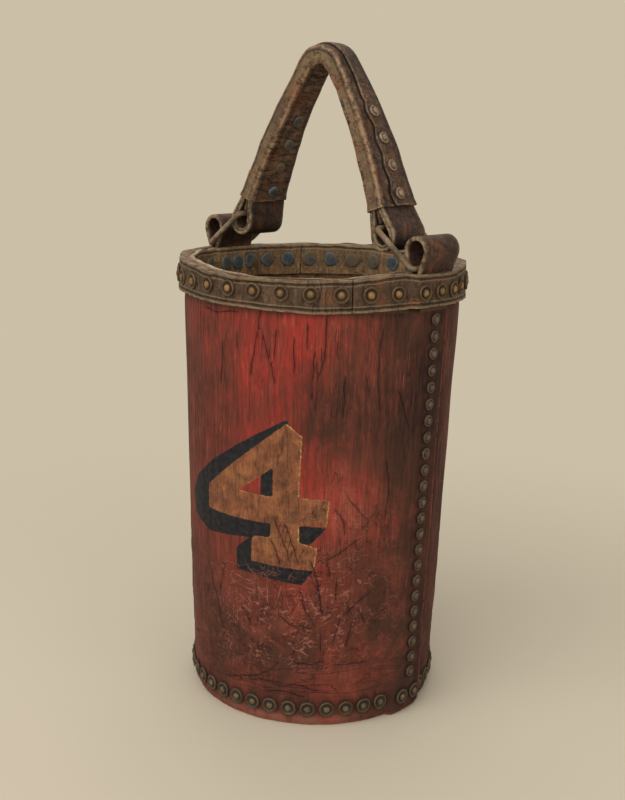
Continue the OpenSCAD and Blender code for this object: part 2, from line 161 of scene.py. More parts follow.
def make_camera():
    data = bpy.data.cameras.new("camera")
    data.sensor_width = SENSOR
    data.lens = SENSOR * FOCAL_PIXELS / LONG_SIDE_PIXELS
    data.clip_start = 0.05
    data.clip_end = 30
    camera = bpy.data.objects.new("camera", data)
    bpy.context.scene.collection.objects.link(camera)
    cp, sp = math.cos(CAMERA_PITCH), math.sin(CAMERA_PITCH)
    cy, sy = math.cos(CAMERA_YAW), math.sin(CAMERA_YAW)
    cr, sr = math.cos(CAMERA_ROLL), math.sin(CAMERA_ROLL)
    forward = np.array([sy * cp, cy * cp, -sp])
    level = np.array([cy, -sy, 0])
    above = np.cross(level, forward)
    right, top = cr * level + sr * above, cr * above - sr * level
    place = placed(right, top, -forward, (0, -CAMERA_AWAY, CAMERA_HEIGHT))
    camera.matrix_world = Matrix.Rotation(CAMERA_AROUND, 4, "Z") @ place
    bpy.context.scene.camera = camera


# Smooth random fields and steps for the shapes
LATTICE_SIZE = 32
SEED_SHIFT = 7.3
LATTICE = np.random.default_rng(11).random((LATTICE_SIZE,) * 3)


def at(x, y, z):
    """Points from their three coordinates."""
    return np.stack(np.broadcast_arrays(x, y, z), axis=-1)


def round_at(radius, turn, z):
    """Points at a radius and an angle in radians round the bucket's axis."""
    return at(radius * np.cos(turn), radius * np.sin(turn), z)


def wrapped(degrees):
    """The same angle, from -180 to 180."""
    return (degrees + 180) % 360 - 180


def wander(points, size, seed=0):
    """Smooth noise from -1 to 1 at points of shape (..., 3), with features about size wide."""
    p = np.asarray(points, float) / np.asarray(size, float) + SEED_SHIFT * seed
    low = np.floor(p).astype(int)
    t = p - low
    t = t * t * (3 - 2 * t)
    total = np.zeros(p.shape[:-1])
    for corner in range(8):
        step = np.array([corner & 1, corner >> 1 & 1, corner >> 2 & 1])
        weight = np.prod(np.where(step == 1, t, 1 - t), axis=-1)
        i = (low + step) % LATTICE_SIZE
        total += weight * LATTICE[i[..., 0], i[..., 1], i[..., 2]]
    return 2 * total - 1


def creases(points, size, seed=0):
    """From 0 to 1, with 1 along thin wandering lines."""
    return np.clip(1 - 4 * np.abs(wander(points, size, seed)), 0, 1) ** 2


def smooth(x, low, high):
    """0 below low, 1 above high, and a soft step between."""
    t = np.clip((np.asarray(x, float) - low) / (high - low), 0, 1)
    return t * t * (3 - 2 * t)


def bell(x, width):
    return np.exp(-((np.asarray(x, float) / width) ** 2))


def around_wave(degrees, knots):
    """Soft closed curve through (angle, value) knots round the bucket."""
    angles = np.array([k[0] for k in knots], float)
    angles = np.concatenate([angles - 360, angles, angles + 360])
    values = np.tile(np.array([k[1] for k in knots], float), 3)
    a = wrapped(np.asarray(degrees, float))
    i = np.clip(np.searchsorted(angles, a) - 1, 0, len(angles) - 2)
    t = smooth((a - angles[i]) / (angles[i + 1] - angles[i]), 0, 1)
    return values[i] * (1 - t) + values[i + 1] * t


# How far the rim's top edge and the band's lower edge stray from level
RIM_WAVE = [(-175, -0.001), (-150, 0.0), (-128, -0.001), (-110, -0.001), (-96, -0.0035), (-76, -0.0045),
            (-58, -0.0034), (-40, -0.003), (-30, -0.0015), (-17, 0.0012), (-10, -0.0004), (0, -0.0008),
            (14, -0.0005), (40, 0.0005), (75, -0.0015), (110, -0.0005), (150, -0.0012)]
LOWER_WAVE = [(-170, 0.001), (-115, 0.0022), (-75, 0.0008), (-48, -0.0003), (-34, 0.0008), (-22, 0.0016),
              (-10, 0.0024), (4, 0.0024), (20, 0.0008), (60, 0.0), (110, 0.0012), (150, 0.0004)]

# Painted light and shade, with some tone of the paint itself: how much lighter or darker the paint is round
# the bucket, high and low on the wall
PAINTED_LIGHT_AND_TONE_HIGH = [(-175, -0.03), (-140, -0.05), (-113, -0.05), (-96, -0.01), (-72, 0.12), (-50, 0.10),
              (-38, 0.06), (-24, 0.0), (-12, -0.09), (-4, -0.12), (10, -0.10), (40, -0.03), (90, 0.0),
              (140, -0.02)]
PAINTED_LIGHT_AND_TONE_LOW = [(-175, -0.06), (-140, -0.08), (-108, -0.06), (-88, -0.02), (-64, 0.02), (-42, 0.05),
             (-28, 0.04), (-16, -0.01), (0, -0.11), (10, -0.10), (40, -0.06), (90, -0.02), (140, -0.05)]


# Mesh builders
PATH_STEP = 0.0011
PATH_SOFTENING = 3
EYE_STEPS = 28


def new_object(name, verts, faces, materials, fields=None, sharp=40, outward=True):
    mesh = bpy.data.meshes.new(name)
    mesh.from_pydata(np.asarray(verts, float).reshape(-1, 3).tolist(), [], faces)
    for label, values in (fields or {}).items():
        layer = mesh.attributes.new(label, "FLOAT", "POINT")
        layer.data.foreach_set("value", np.asarray(values, np.float32).ravel())
    for material in materials:
        mesh.materials.append(material)
    if outward:
        bm = bmesh.new()
        bm.from_mesh(mesh)
        bmesh.ops.recalc_face_normals(bm, faces=bm.faces)
        bm.to_mesh(mesh)
        bm.free()
    mesh.shade_smooth()
    mesh.set_sharp_from_angle(angle=math.radians(sharp))
    thing = bpy.data.objects.new(name, mesh)
    bpy.context.scene.collection.objects.link(thing)
    return thing


def loft_faces(rows, columns, closed=False, first=0):
    """Faces of a tube of rows rings with columns points each, with its ends capped unless it is closed."""
    faces = []
    for i in range(rows if closed else rows - 1):
        a, b = first + i * columns, first + (i + 1) % rows * columns
        for j in range(columns):
            k = (j + 1) % columns
            faces.append((a + j, a + k, b + k, b + j))
    if not closed:
        faces.append(tuple(range(first + columns - 1, first - 1, -1)))
        last = first + (rows - 1) * columns
        faces.append(tuple(range(last, last + columns)))
    return faces


def finish_piece(thing, body, node):
    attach(thing, body)
    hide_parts(node)


def oblong(half_w, half_t, round_r, steps, flats):
    """Rounded oblong as (across, through) points, with flats spans on each long side."""
    points = []
    for cx, cy, start in ((1, 1, 0), (-1, 1, 90), (-1, -1, 180), (1, -1, 270)):
        for k in range(steps + 1):
            a = math.radians(start + 90 * k / steps)
            points.append((cx * (half_w - round_r) + round_r * math.cos(a),
                           cy * (half_t - round_r) + round_r * math.sin(a)))
        if start in (0, 180):
            span = 2 * (half_w - round_r)
            points += [(cx * (half_w - round_r - span * k / flats), cy * half_t) for k in range(1, flats)]
    return np.array(points)


def evenly(p):
    """Points about PATH_STEP apart along a flat path."""
    run = np.concatenate([[0], np.cumsum(np.linalg.norm(np.diff(p, axis=0), axis=1))])
    even = np.linspace(0, run[-1], int(run[-1] / PATH_STEP) + 1)
    return np.stack([np.interp(even, run, p[:, 0]), np.interp(even, run, p[:, 1])], axis=1)


def softened(points):
    """A flat path in even steps, with its corners softened."""
    p = evenly(np.asarray(points, float))
    for _ in range(PATH_SOFTENING):
        p[1:-1] = (p[:-2] + 2 * p[1:-1] + p[2:]) / 4
    return evenly(p)


def eye_path(half, radius, reach):
    """Middle line of a folded strap, from one ply at the mouth round the eye and back to the other ply."""
    away = math.hypot(half, reach)
    lean = math.asin(radius / away) - math.atan2(half, reach)
    points = [(half, 0.0)]
    for k in range(EYE_STEPS + 1):
        a = -lean + (math.pi + 2 * lean) * k / EYE_STEPS
        points.append((radius * math.cos(a), reach + radius * math.sin(a)))
    return points + [(-half, 0.0)]


# Node building
def srgb(red, green, blue):
    """A colour as seen, 0 to 255, as the linear one that shaders take."""
    made = []
    for value in (red, green, blue):
        c = value / 255
        made.append(c / 12.92 if c <= 0.04045 else ((c + 0.055) / 1.055) ** 2.4)
    return (*made, 1.0)


class Nodes:
    """A node tree and the calls that add to it.

    Wherever a call takes a value, the name of a field stands for the field. Colours are as seen, 0 to 255.
    """

    def __init__(self, tree):
        self.tree = tree

    def feed(self, socket, value):
        if isinstance(value, str):
            value = self.node("ShaderNodeAttribute", {}, attribute_name=value).outputs["Fac"]
        if isinstance(value, bpy.types.NodeSocket):
            self.tree.links.new(value, socket)
        elif socket.type == "RGBA":
            socket.default_value = srgb(*value)
        else:
            socket.default_value = value

    def node(self, kind, inputs, **settings):
        made = self.tree.nodes.new(kind)
        for key, value in settings.items():
            setattr(made, key, value)
        for key, value in inputs.items():
            self.feed(made.inputs[key], value)
        return made

    def math(self, operation, *values):
        return self.node("ShaderNodeMath", dict(enumerate(values)), operation=operation).outputs[0]

    def remap(self, value, low, high, out_low=0.0, out_high=1.0):
        made = self.node("ShaderNodeMapRange", {0: value, 1: low, 2: high, 3: out_low, 4: out_high},
                         interpolation_type="SMOOTHSTEP")
        return made.outputs[0]

    def times(self, *values):
        total = values[0]
        for value in values[1:]:
            total = self.math("MULTIPLY", total, value)
        return total

    def weighted(self, *parts):
        """The sum of (value, share) parts."""
        total = self.times(*parts[0])
        for value, share in parts[1:]:
            total = self.math("MULTIPLY_ADD", value, share, total)
        return total

    def toward(self, value, other, share):
        return self.math("MULTIPLY_ADD", share, self.math("SUBTRACT", other, value), value)

    def most(self, a, b):
        return self.math("MAXIMUM", a, b)

    def without(self, value):
        return self.math("SUBTRACT", 1.0, value)

    def space(self, shift=0.0):
        return self.scaled(self.node("ShaderNodeTexCoord", {}).outputs["Object"], 1.0, 1.0, shift)

    def sheet(self, x=1.0, y=1.0, shift=0.0):
        """Position on the piece laid flat, in metres: along it, then across it."""
        flat = self.node("ShaderNodeCombineXYZ", {0: "along", 1: "across"})
        return self.scaled(flat.outputs[0], x, y, shift)

    def scaled(self, vector, x, y, shift):
        inputs = {"Vector": vector, "Scale": (x, y, 1.0), "Location": (shift, shift, shift)}
        return self.node("ShaderNodeMapping", inputs).outputs[0]

    def noise(self, vector, scale, detail=4.0, roughness=0.55, distortion=0.0):
        inputs = {"Vector": vector, "Scale": scale, "Detail": detail,
                  "Roughness": roughness, "Distortion": distortion}
        return self.node("ShaderNodeTexNoise", inputs).outputs["Fac"]

    def patches(self, vector, noise, low, high, *levels):
        """Noise of (scale, detail and so on), made into patches that go from 0 to 1 between low and high."""
        return self.remap(self.noise(vector, *noise), low, high, *levels)

    def lines(self, vector, scale, width, *noise):
        """1 along thin wandering lines and 0 between them."""
        away = self.math("ABSOLUTE", self.math("SUBTRACT", self.noise(vector, scale, *noise), 0.5))
        return self.remap(away, 0.0, width, 1.0, 0.0)

    def drawn(self, tone, wobble, width):
        """1 along the lines of LINES in a tone, dark or pale."""
        strokes = []
        for way in ("upright", "level"):
            name = tone + "_" + way
            away = self.math("ABSOLUTE", self.math("ADD", name, wobble))
            strokes.append(self.times(self.remap(away, 0.0, width, 1.0, 0.0), name + "_near"))
        return self.most(*strokes)

    def warped(self, vector, amount, scale, detail=3.0):
        """vector moved about by noise, by at most amount."""
        noise = self.node("ShaderNodeTexNoise", {"Vector": vector, "Scale": scale, "Detail": detail})
        moved = self.node("ShaderNodeVectorMath", {0: noise.outputs["Color"], 1: (0.5, 0.5, 0.5)},
                          operation="SUBTRACT").outputs[0]
        sized = self.node("ShaderNodeVectorMath", {0: moved, 3: 2 * amount}, operation="SCALE").outputs[0]
        return self.node("ShaderNodeVectorMath", {0: vector, 1: sized}, operation="ADD").outputs[0]

    def mix(self, factor, a, b):
        return self.node("ShaderNodeMix", {0: factor, 6: a, 7: b}, data_type="RGBA").outputs[2]

    def coat(self, colour, over, *shares):
        """colour with over laid on it, as far as the product of the shares."""
        return self.mix(self.times(*shares), colour, over)

    def ramp(self, factor, places, colours):
        made = self.node("ShaderNodeValToRGB", {0: factor})
        band = made.color_ramp
        while len(band.elements) < len(places):
            band.elements.new(0.5)
        for element, place, colour in zip(band.elements, places, colours):
            element.position = place
            element.color = srgb(*colour)
        return made.outputs[0]


class Paint(Nodes):
    """The nodes of a material."""

    def __init__(self, name, specular=0.2):
        self.material = bpy.data.materials.new(name)
        self.material.use_nodes = True
        super().__init__(self.material.node_tree)
        self.surface = self.tree.nodes["Principled BSDF"]
        self.feed(self.surface.inputs["Specular IOR Level"], specular)

    def finish(self, colour, roughness, bumps=(), metallic=0.0):
        """bumps are (height, depth in metres), the coarsest first."""
        inputs = self.surface.inputs
        self.feed(inputs["Base Color"], colour)
        self.feed(inputs["Roughness"], roughness)
        self.feed(inputs["Metallic"], metallic)
        normal = None
        for height, depth in bumps:
            bump = self.node("ShaderNodeBump", {"Height": height, "Distance": depth, "Strength": 1.0})
            if normal is not None:
                self.feed(bump.inputs["Normal"], normal)
            normal = bump.outputs[0]
            self.feed(inputs["Normal"], normal)
        return self.material


# Leather
DARK_FOLD = (36, 27, 22)
DARK_PLEAT = (30, 23, 20)
RUST_BROWN = (118, 72, 42)
EDGE_SHADE_BROWN = (24, 18, 16)


def sleeve_marks(paint, space, seed, colour, middle, light, side, fine):
    """Faded side faces, the pleats, and pale patches of painted light on the shaded inner face."""
    faded = paint.coat(side, middle, paint.remap(fine, 0.42, 0.62, 0.0, 0.7))
    colour = paint.coat(colour, faded, "side", paint.patches(space, (30, 3, 0.6), 0.35, 0.6, 0.35, 1.0))
    pleats = paint.lines(paint.warped(paint.sheet(1.0, 0.22, seed + 5.0), 0.003, 90), 105, 0.03, 3, 0.6)
    pleats = paint.times(pleats, "pleated")
    colour = paint.coat(colour, DARK_PLEAT, pleats, 0.8)
    # Painted light: pale patches that lighten the inner face, which lies in shade.
    pale = paint.patches(paint.sheet(1.0, 0.3, seed + 7.0), (330, 4, 0.7), 0.44, 0.64, 0.1, 0.8)
    return paint.coat(colour, light, pale, "pleated"), pleats


def strip_marks(paint, space, seed, colour, edge, creased):
    """Folds across a strip, and a pale line, a dull groove and a thin line beside its edges."""
    folds = paint.lines(paint.sheet(1.0, 0.2, seed + 3.0), 95, 0.02, 3, 0.6)
    folds = paint.times(folds, paint.patches(space, (40, 3), 0.46, 0.60), creased)
    colour = paint.coat(colour, DARK_FOLD, folds, 0.7)
    border = paint.math("MULTIPLY_ADD", paint.noise(space, 240, 4, 0.7), 0.0016, "border")
    lines = []
    for start, full, fade, end in ((0.0010, 0.0016, 0.0022, 0.0027), (0.0027, 0.0031, 0.0039, 0.0044),
                                   (0.0044, 0.0047, 0.0052, 0.0056)):
        lines.append(paint.times(paint.remap(border, start, full), paint.remap(border, fade, end, 1.0, 0.0)))
    pale, dull, thin = lines
    colour = paint.coat(colour, edge, pale, 0.45)
    colour = paint.coat(colour, DARK_FOLD, dull, 0.6)
    return paint.coat(colour, edge, thin, 0.5), folds, dull


def aged_leather(name, dark, middle, light, edge, seed, speckle=0.0, roughness=0.62, side=None, creased=None):
    """Bare old leather: mottled, stroked and wrinkled, and paler where its edges are cut or rubbed.

    side is the colour of the side faces of the sleeve. creased is for a strip laid flat round the rim,
    and says how far its folds show.
    """
    paint = Paint(name)
    space = paint.space(seed)
    mottle = paint.noise(space, 45, 6, 0.65, 0.4)
    fine = paint.noise(space, 300, 5, 0.7)
    strokes = paint.noise(paint.sheet(1.0, 0.16, seed), 420, 4, 0.65) if creased else fine
    tone = paint.weighted((strokes, 0.5), (mottle, 0.55), (fine, 0.3))
    colour = paint.ramp(tone, (0.50, 0.68, 0.88), (dark, middle, light))
    bumps = []
    if side:
        colour, pleats = sleeve_marks(paint, space, seed, colour, middle, light, side, fine)
        bumps = [(paint.without(pleats), 0.0008)]
    if speckle:
        colour = paint.coat(colour, light, paint.patches(space, (800, 2, 0.6), 0.54, 0.68, 0.0, speckle))
    warm = paint.patches(paint.space(seed + 9.0), (70, 4, 0.65), 0.52, 0.66, 0.0, 0.5)
    colour = paint.coat(colour, RUST_BROWN, warm)
    wrinkles = paint.lines(paint.warped(space, 0.002, 120), 85, 0.016, 3, 0.6)
    wrinkles = paint.times(wrinkles, paint.patches(space, (50, 3), 0.42, 0.56))
    colour = paint.coat(colour, dark, wrinkles, 0.5)
    if creased:
        colour, folds, dull = strip_marks(paint, space, seed, colour, edge, creased)
        bumps = [(paint.without(dull), 0.0004), (paint.without(folds), 0.0006)]
    bumps += [(paint.without(wrinkles), 0.0005), (mottle, 0.0010), (fine, 0.0004)]
    colour = paint.coat(colour, edge, "wear", paint.patches(space, (190, 5, 0.72), 0.38, 0.58, 0.1, 1.0))
    # Painted shade where the mesh asks for it: under the sleeve flap's free edge and in stripes beside its
    # ridges.
    colour = paint.coat(colour, EDGE_SHADE_BROWN, "edge_shade")
    return paint.finish(colour, paint.remap(mottle, 0.3, 0.7, roughness - 0.12, roughness + 0.15), bumps)


def patinated(name, dark, middle, bright, seed, roughness=0.5, metallic=0.4, patch=None):
    """Old metal: dull and dark in its hollows, brighter on what is rubbed, and patch coloured in places."""
    paint = Paint(name, specular=0.35)
    space = paint.space(seed)
    broad = paint.noise(space, 110, 4, 0.6)
    fine = paint.noise(space, 700, 4, 0.65)
    tone = paint.weighted((broad, 0.55), (fine, 0.50), ("wear", 0.34))
    colour = paint.ramp(tone, (0.50, 0.72, 0.94), (dark, middle, bright))
    if patch:
        spread = paint.patches(paint.space(seed + 5.0), (75, 4, 0.65), 0.48, 0.60)
        colour = paint.coat(colour, patch, spread, 0.75)
    rough = paint.remap(tone, 0.4, 1.0, roughness + 0.3, roughness)
    shine = paint.remap(tone, 0.4, 0.95, metallic * 0.3, metallic)
    return paint.finish(colour, rough, [(broad, 0.0006), (fine, 0.0003)], shine)


# Colours are of the hollows, the middle and the high spots, and for leather also of its edges.
# After them come a seed for the noise and, for leather, how speckled it is.
INSIDE = aged_leather("inside_leather", (58, 44, 33), (114, 86, 60), (160, 125, 88), (140, 114, 82), 3.0, 0.3)
BAND = aged_leather("band_leather", (42, 32, 26), (74, 56, 42), (112, 88, 66), (138, 116, 88), 0.0, 0.15,
                    creased=1.0)
LINING = aged_leather("lining_leather", (66, 52, 38), (124, 97, 66), (184, 146, 100), (170, 150, 118), 1.0,
                      0.5, creased=0.4)
TAB = aged_leather("tab_leather", (36, 26, 23), (62, 44, 36), (102, 72, 54), (140, 118, 90), 2.0, 0.35)
STRAP = aged_leather("strap_leather", (34, 26, 23), (58, 44, 37), (90, 68, 54), (138, 118, 90), 4.0)
LINER = aged_leather("liner_leather", (36, 28, 24), (66, 50, 40), (102, 80, 62), (134, 114, 86), 5.0)
SLEEVE = aged_leather("sleeve_leather", (37, 29, 26), (77, 59, 48), (134, 101, 74), (158, 128, 94), 6.0,
                      side=(122, 102, 72))
STUFFING = aged_leather("stuffing", (52, 42, 32), (88, 72, 54), (120, 102, 78), (130, 112, 86), 7.0,
                        roughness=0.9)
BOTTOM = aged_leather("bottom_leather", (44, 32, 24), (80, 58, 42), (112, 84, 60), (140, 112, 80), 8.0)
IRON = patinated("ring_iron", (84, 69, 55), (142, 124, 99), (190, 178, 152), 0.0, 0.5, 0.15, (112, 84, 60))
HEAD_GREY = patinated("head_grey", (38, 43, 46), (68, 76, 80), (118, 122, 118), 9.0, 0.6, 0.2, (110, 88, 58))
FASTENER_COLOURS = {
    "rim_brass": ((46, 35, 27), (68, 52, 37), (104, 82, 54)),
    "seam_brass": ((40, 31, 27), (66, 51, 41), (98, 80, 63)),
    "base_brass": ((54, 46, 37), (68, 57, 43), (92, 78, 56)),
    "handle_brass": ((50, 40, 34), (98, 82, 66), (156, 138, 114)),
    "rim_copper": ((50, 36, 26), (96, 70, 42), (158, 120, 70)),
    "seam_copper": ((40, 33, 28), (70, 57, 46), (116, 98, 78)),
    "base_copper": ((38, 33, 27), (70, 58, 43), (128, 108, 80)),
    "handle_copper": ((56, 42, 34), (112, 86, 66), (176, 150, 122))}
METALS = {name: patinated(name, *colours, seed)
          for seed, (name, colours) in enumerate(FASTENER_COLOURS.items(), 1)}


# Numeral on the wall: a block figure with a deep shade down to the left.
# Points are on the wall laid flat, in metres from NUMERAL_ANGLE round the wall and up from the foot.
NUMERAL_ANGLE = -68.0
FIGURE = [(0.013, 0.232), (0.024, 0.223), (0.0225, 0.178), (0.044, 0.177), (0.0425, 0.157), (0.023, 0.158),
          (0.023, 0.1445), (0.0365, 0.141), (0.034, 0.124), (-0.0135, 0.126), (-0.0125, 0.1455),
          (0.002, 0.1465), (0.002, 0.157), (-0.0565, 0.1565), (-0.056, 0.1745)]
COUNTER = [(0.0035, 0.199), (-0.024, 0.178), (0.0035, 0.177)]
SHADES = [[(0.0155, 0.2335), (0.0120, 0.2342), (-0.012, 0.220), (-0.050, 0.195), (-0.073, 0.177),
           (-0.083, 0.163), (-0.079, 0.146), (-0.056, 0.1385), (0.003, 0.1465), (0.003, 0.158),
           (-0.052, 0.158), (-0.050, 0.174)],
          [(-0.0125, 0.1455), (-0.026, 0.134), (-0.027, 0.117), (0.026, 0.1125), (0.034, 0.124),
           (-0.0135, 0.127)],
          [(0.023, 0.1575), (0.0425, 0.1565), (0.031, 0.1435), (0.023, 0.1445)],
          [(-0.0055, 0.1925), (0.0045, 0.200), (0.0045, 0.176), (-0.0055, 0.1765)]]
GLINT_SHIFT = (0.0011, 0.0004)


def distance_to_polygon(x, y, corners):
    """Distance to a polygon's outline, below 0 inside it."""
    nearest = np.full(x.shape, 1e9)
    inside = np.zeros(x.shape, bool)
    for (ax, ay), (bx, by) in zip(corners, corners[1:] + corners[:1]):
        dx, dy = bx - ax, by - ay
        t = np.clip(((x - ax) * dx + (y - ay) * dy) / (dx * dx + dy * dy), 0, 1)
        nearest = np.minimum(nearest, np.hypot(x - ax - t * dx, y - ay - t * dy))
        inside ^= ((ay > y) != (by > y)) & (x < (bx - ax) * (y - ay) / (by - ay + 1e-12) + ax)
    return np.where(inside, -nearest, nearest)


def distance_to_figure(x, y):
    return np.maximum(distance_to_polygon(x, y, FIGURE), -distance_to_polygon(x, y, COUNTER))


def numeral_fields(turn, z):
    """Distances to the figure, to its shade, and to the figure moved aside for the bright edge."""
    x = np.radians(wrapped(turn - NUMERAL_ANGLE)) * FLAT_R
    return {"figure": distance_to_figure(x, z),
            "shade": np.min([distance_to_polygon(x, z, corners) for corners in SHADES], axis=0),
            "glint": distance_to_figure(x + GLINT_SHIFT[0], z + GLINT_SHIFT[1])}


# Lines in the paint, as points of (degrees round the wall, millimetres up it).
# The upright ones run down the wall and the level ones round it.
LINES = {
    "dark_upright": [
        [(-71, 313), (-74, 284), (-76, 262)], [(-71, 295), (-65, 258)], [(-65, 298), (-66, 275)],
        [(-58, 294), (-58, 267)], [(-46, 309), (-46, 280), (-49, 263), (-49, 241)], [(-50, 285), (-51, 248)],
        [(-38, 268), (-38, 236)], [(-53, 304), (-53, 283)], [(-42, 292), (-41, 277)],
        [(-16, 256), (-10, 225)], [(-90, 285), (-91, 252)], [(-82, 294), (-82, 280)],
        [(-66, 163), (-62, 149), (-58, 128)],
        [(-61, 160), (-54, 127)], [(-67, 147), (-62, 126)], [(-50, 133), (-46, 113), (-44, 89)],
        [(-54, 111), (-51, 91), (-46, 79)], [(-41, 173), (-36, 160), (-36, 150)], [(-38, 118), (-39, 100)],
        [(-43, 131), (-41, 118)], [(-29, 94), (-24, 79)], [(-31, 84), (-33, 62)], [(-36, 88), (-40, 63)],
        [(-45, 76), (-44, 59)], [(-102, 114), (-96, 88), (-92, 64)], [(-90, 118), (-95, 88)],
        [(-79, 87), (-75, 74)], [(-55, 65), (-57, 53)], [(-24, 300), (-25, 270), (-23, 240)],
        [(-19, 205), (-17, 180), (-18, 160)], [(40, 290), (43, 255), (41, 225)],
        [(75, 298), (73, 272), (76, 250)], [(118, 280), (122, 240), (120, 200)],
        [(160, 295), (157, 265), (160, 240)], [(205, 285), (208, 250), (205, 215)],
        [(238, 298), (236, 268), (239, 238)]],
    "dark_level": [
        [(-37, 186), (-34, 176), (-26, 161)], [(-44, 131), (-39, 136), (-29, 148)],
        [(-36, 88), (-31, 95), (-22, 106)], [(-57, 53), (-55, 50), (-48, 50), (-42, 53)],
        [(-91, 27), (-72, 36), (-65, 45), (-62, 52)], [(-83, 28), (-71, 33), (-54, 33), (-44, 28)],
        [(-38, 50), (-22, 49)], [(-64, 88), (-58, 80), (-48, 79)], [(-59, 68), (-54, 65)],
        [(-70, 24), (-60, 27), (-50, 23)], [(-101, 306), (-94, 304), (-81, 307)],
        [(60, 60), (78, 55), (95, 62)], [(150, 80), (168, 88), (185, 82)], [(215, 48), (235, 42), (250, 50)]],
    "pale_upright": [
        [(-73, 113), (-71, 92)], [(-69, 111), (-67, 91)], [(-64, 98), (-64, 85)], [(-78, 122), (-73, 114)],
        [(-71, 122), (-67, 113)], [(-66, 125), (-64, 117)], [(-57, 122), (-59, 116)], [(-34, 87), (-41, 61)],
        [(-62, 110), (-63, 99)]],
    "pale_level": [
        [(-85, 112), (-73, 109)], [(-85, 105), (-73, 103)], [(-88, 94), (-84, 98), (-77, 92)],
        [(-70, 100), (-65, 102)], [(-61, 107), (-56, 109), (-51, 107)], [(-61, 100), (-57, 103), (-48, 101)],
        [(-63, 89), (-58, 91), (-55, 87)], [(-55, 83), (-50, 85)], [(-54, 93), (-46, 92)],
        [(-47, 80), (-39, 86)], [(-44, 110), (-39, 110)], [(-43, 104), (-33, 104)], [(-39, 96), (-33, 101)]]}
FAR_OFF = 0.02              # stands for no line near


def drawn_line_fields(lines, across, run):
    """Signed distance across to the nearest line, and how far it counts: 1 beside it, 0 past its ends.

    Each line is points of (across, run), with run rising. Half way between two lines nothing counts.
    """
    away, near = np.full(across.shape, FAR_OFF), np.zeros(across.shape)
    second = np.full(across.shape, FAR_OFF)
    for line in lines:
        place, level = np.array(line).T
        started = smooth(run, level[0] - 0.001, level[0] + 0.004)
        ends = started * (1 - smooth(run, level[-1] - 0.004, level[-1] + 0.001))
        off = np.where(ends > 0, across - np.interp(run, level, place), FAR_OFF)
        closer = np.abs(off) < np.abs(away)
        second = np.where(closer, np.abs(away), np.minimum(second, np.abs(off)))
        away = np.where(closer, off, away)
        near = np.where(closer, ends, near)
    near = near * (1 - smooth(np.abs(away), 0.0018, 0.0040)) * smooth(second - np.abs(away), 0.0, 0.003)
    return away, near


def line_fields(front, z):
    """All the lines in the paint, for points at an angle from -180 to 180 and a height."""
    round_it = np.radians(front) * FLAT_R
    fields = {}
    for name, lines in LINES.items():
        flat = [[(math.radians(wrapped(angle)) * FLAT_R, up / 1000) for angle, up in line] for line in lines]
        if name.endswith("upright"):
            found = drawn_line_fields([line[::-1] for line in flat], round_it, z)
        else:
            found = drawn_line_fields([[point[::-1] for point in line] for line in flat], z, round_it)
        fields[name], fields[name + "_near"] = found
    return fields


# Paint on the hide, with its tones from the hollows to the high spots
TONE_PLACES = (0.28, 0.38, 0.48, 0.58, 0.68, 0.80)
REDS = ((46, 27, 23), (74, 37, 30), (100, 46, 37), (130, 47, 38), (160, 51, 41), (178, 76, 60))
BROWNS = ((44, 29, 24), (68, 40, 32), (92, 51, 40), (114, 59, 46), (138, 70, 54), (156, 92, 74))
TAN = (120, 76, 56)
SCRATCHED_RED = (172, 96, 74)
SOOT_OLIVE = (56, 40, 29)
RIVET_SHADOW = (44, 28, 25)
BLACKS = ((22, 24, 28), (44, 42, 43))
OCHRE_PLACES = (0.37, 0.46, 0.54, 0.66)
OCHRES = ((66, 44, 33), (112, 69, 46), (138, 85, 56), (162, 108, 70))
# Patches over the ochre, as (colour, noise, low, high, strength): golden, dull and grimy
OCHRE_PATCHES = (((150, 106, 56), (60, 4, 0.6), 0.52, 0.68, 0.4),
                 ((94, 60, 42), (38, 4, 0.65), 0.46, 0.62, 0.35),
                 ((84, 64, 42), (95, 5, 0.7, 0.5), 0.52, 0.68, 0.6))
GLINT = (190, 148, 86)
PALE_CRAZE = (172, 108, 90)
FOLD_BROWN = (50, 29, 25)
HAIR_BROWN = (44, 24, 22)
CRACK_SHADOW = (50, 28, 24)
CRACK_BLACK = (36, 22, 20)
RUBBED_RED = (158, 74, 62)
FOOT_WEAR_AND_HIGHLIGHT = (150, 102, 84)
LAP_EDGE_SHADE = (26, 16, 15)
BARE_RIM = (82, 62, 46)


def hide_noises(paint, flat):
    """Mottling, streaks, fine strands and the tone they add up to. Low on the wall the streaks break up."""
    low = paint.remap("across", 0.07, 0.15, 0.75, 0.0)
    mottled = paint.noise(flat, 62, 6, 0.65, 0.6)
    streak = paint.toward(paint.noise(paint.sheet(1.0, 0.07), 240, 6, 0.65, 0.2), mottled, low)
    dabs = paint.noise(paint.sheet(1.0, 0.6, 4.0), 480, 4, 0.62)
    strand = paint.toward(paint.noise(paint.sheet(1.0, 0.12), 700, 4, 0.62), dabs, low)
    broad = paint.noise(paint.sheet(1.0, 0.5), 20, 5, 0.6, 0.5)
    # The wall's light field adds painted light and shade, with some tone of the paint, to the tone.
    tone = paint.math("ADD", paint.weighted((broad, 0.50), (streak, 0.50), (strand, 0.42)), "light")
    return mottled, streak, strand, tone


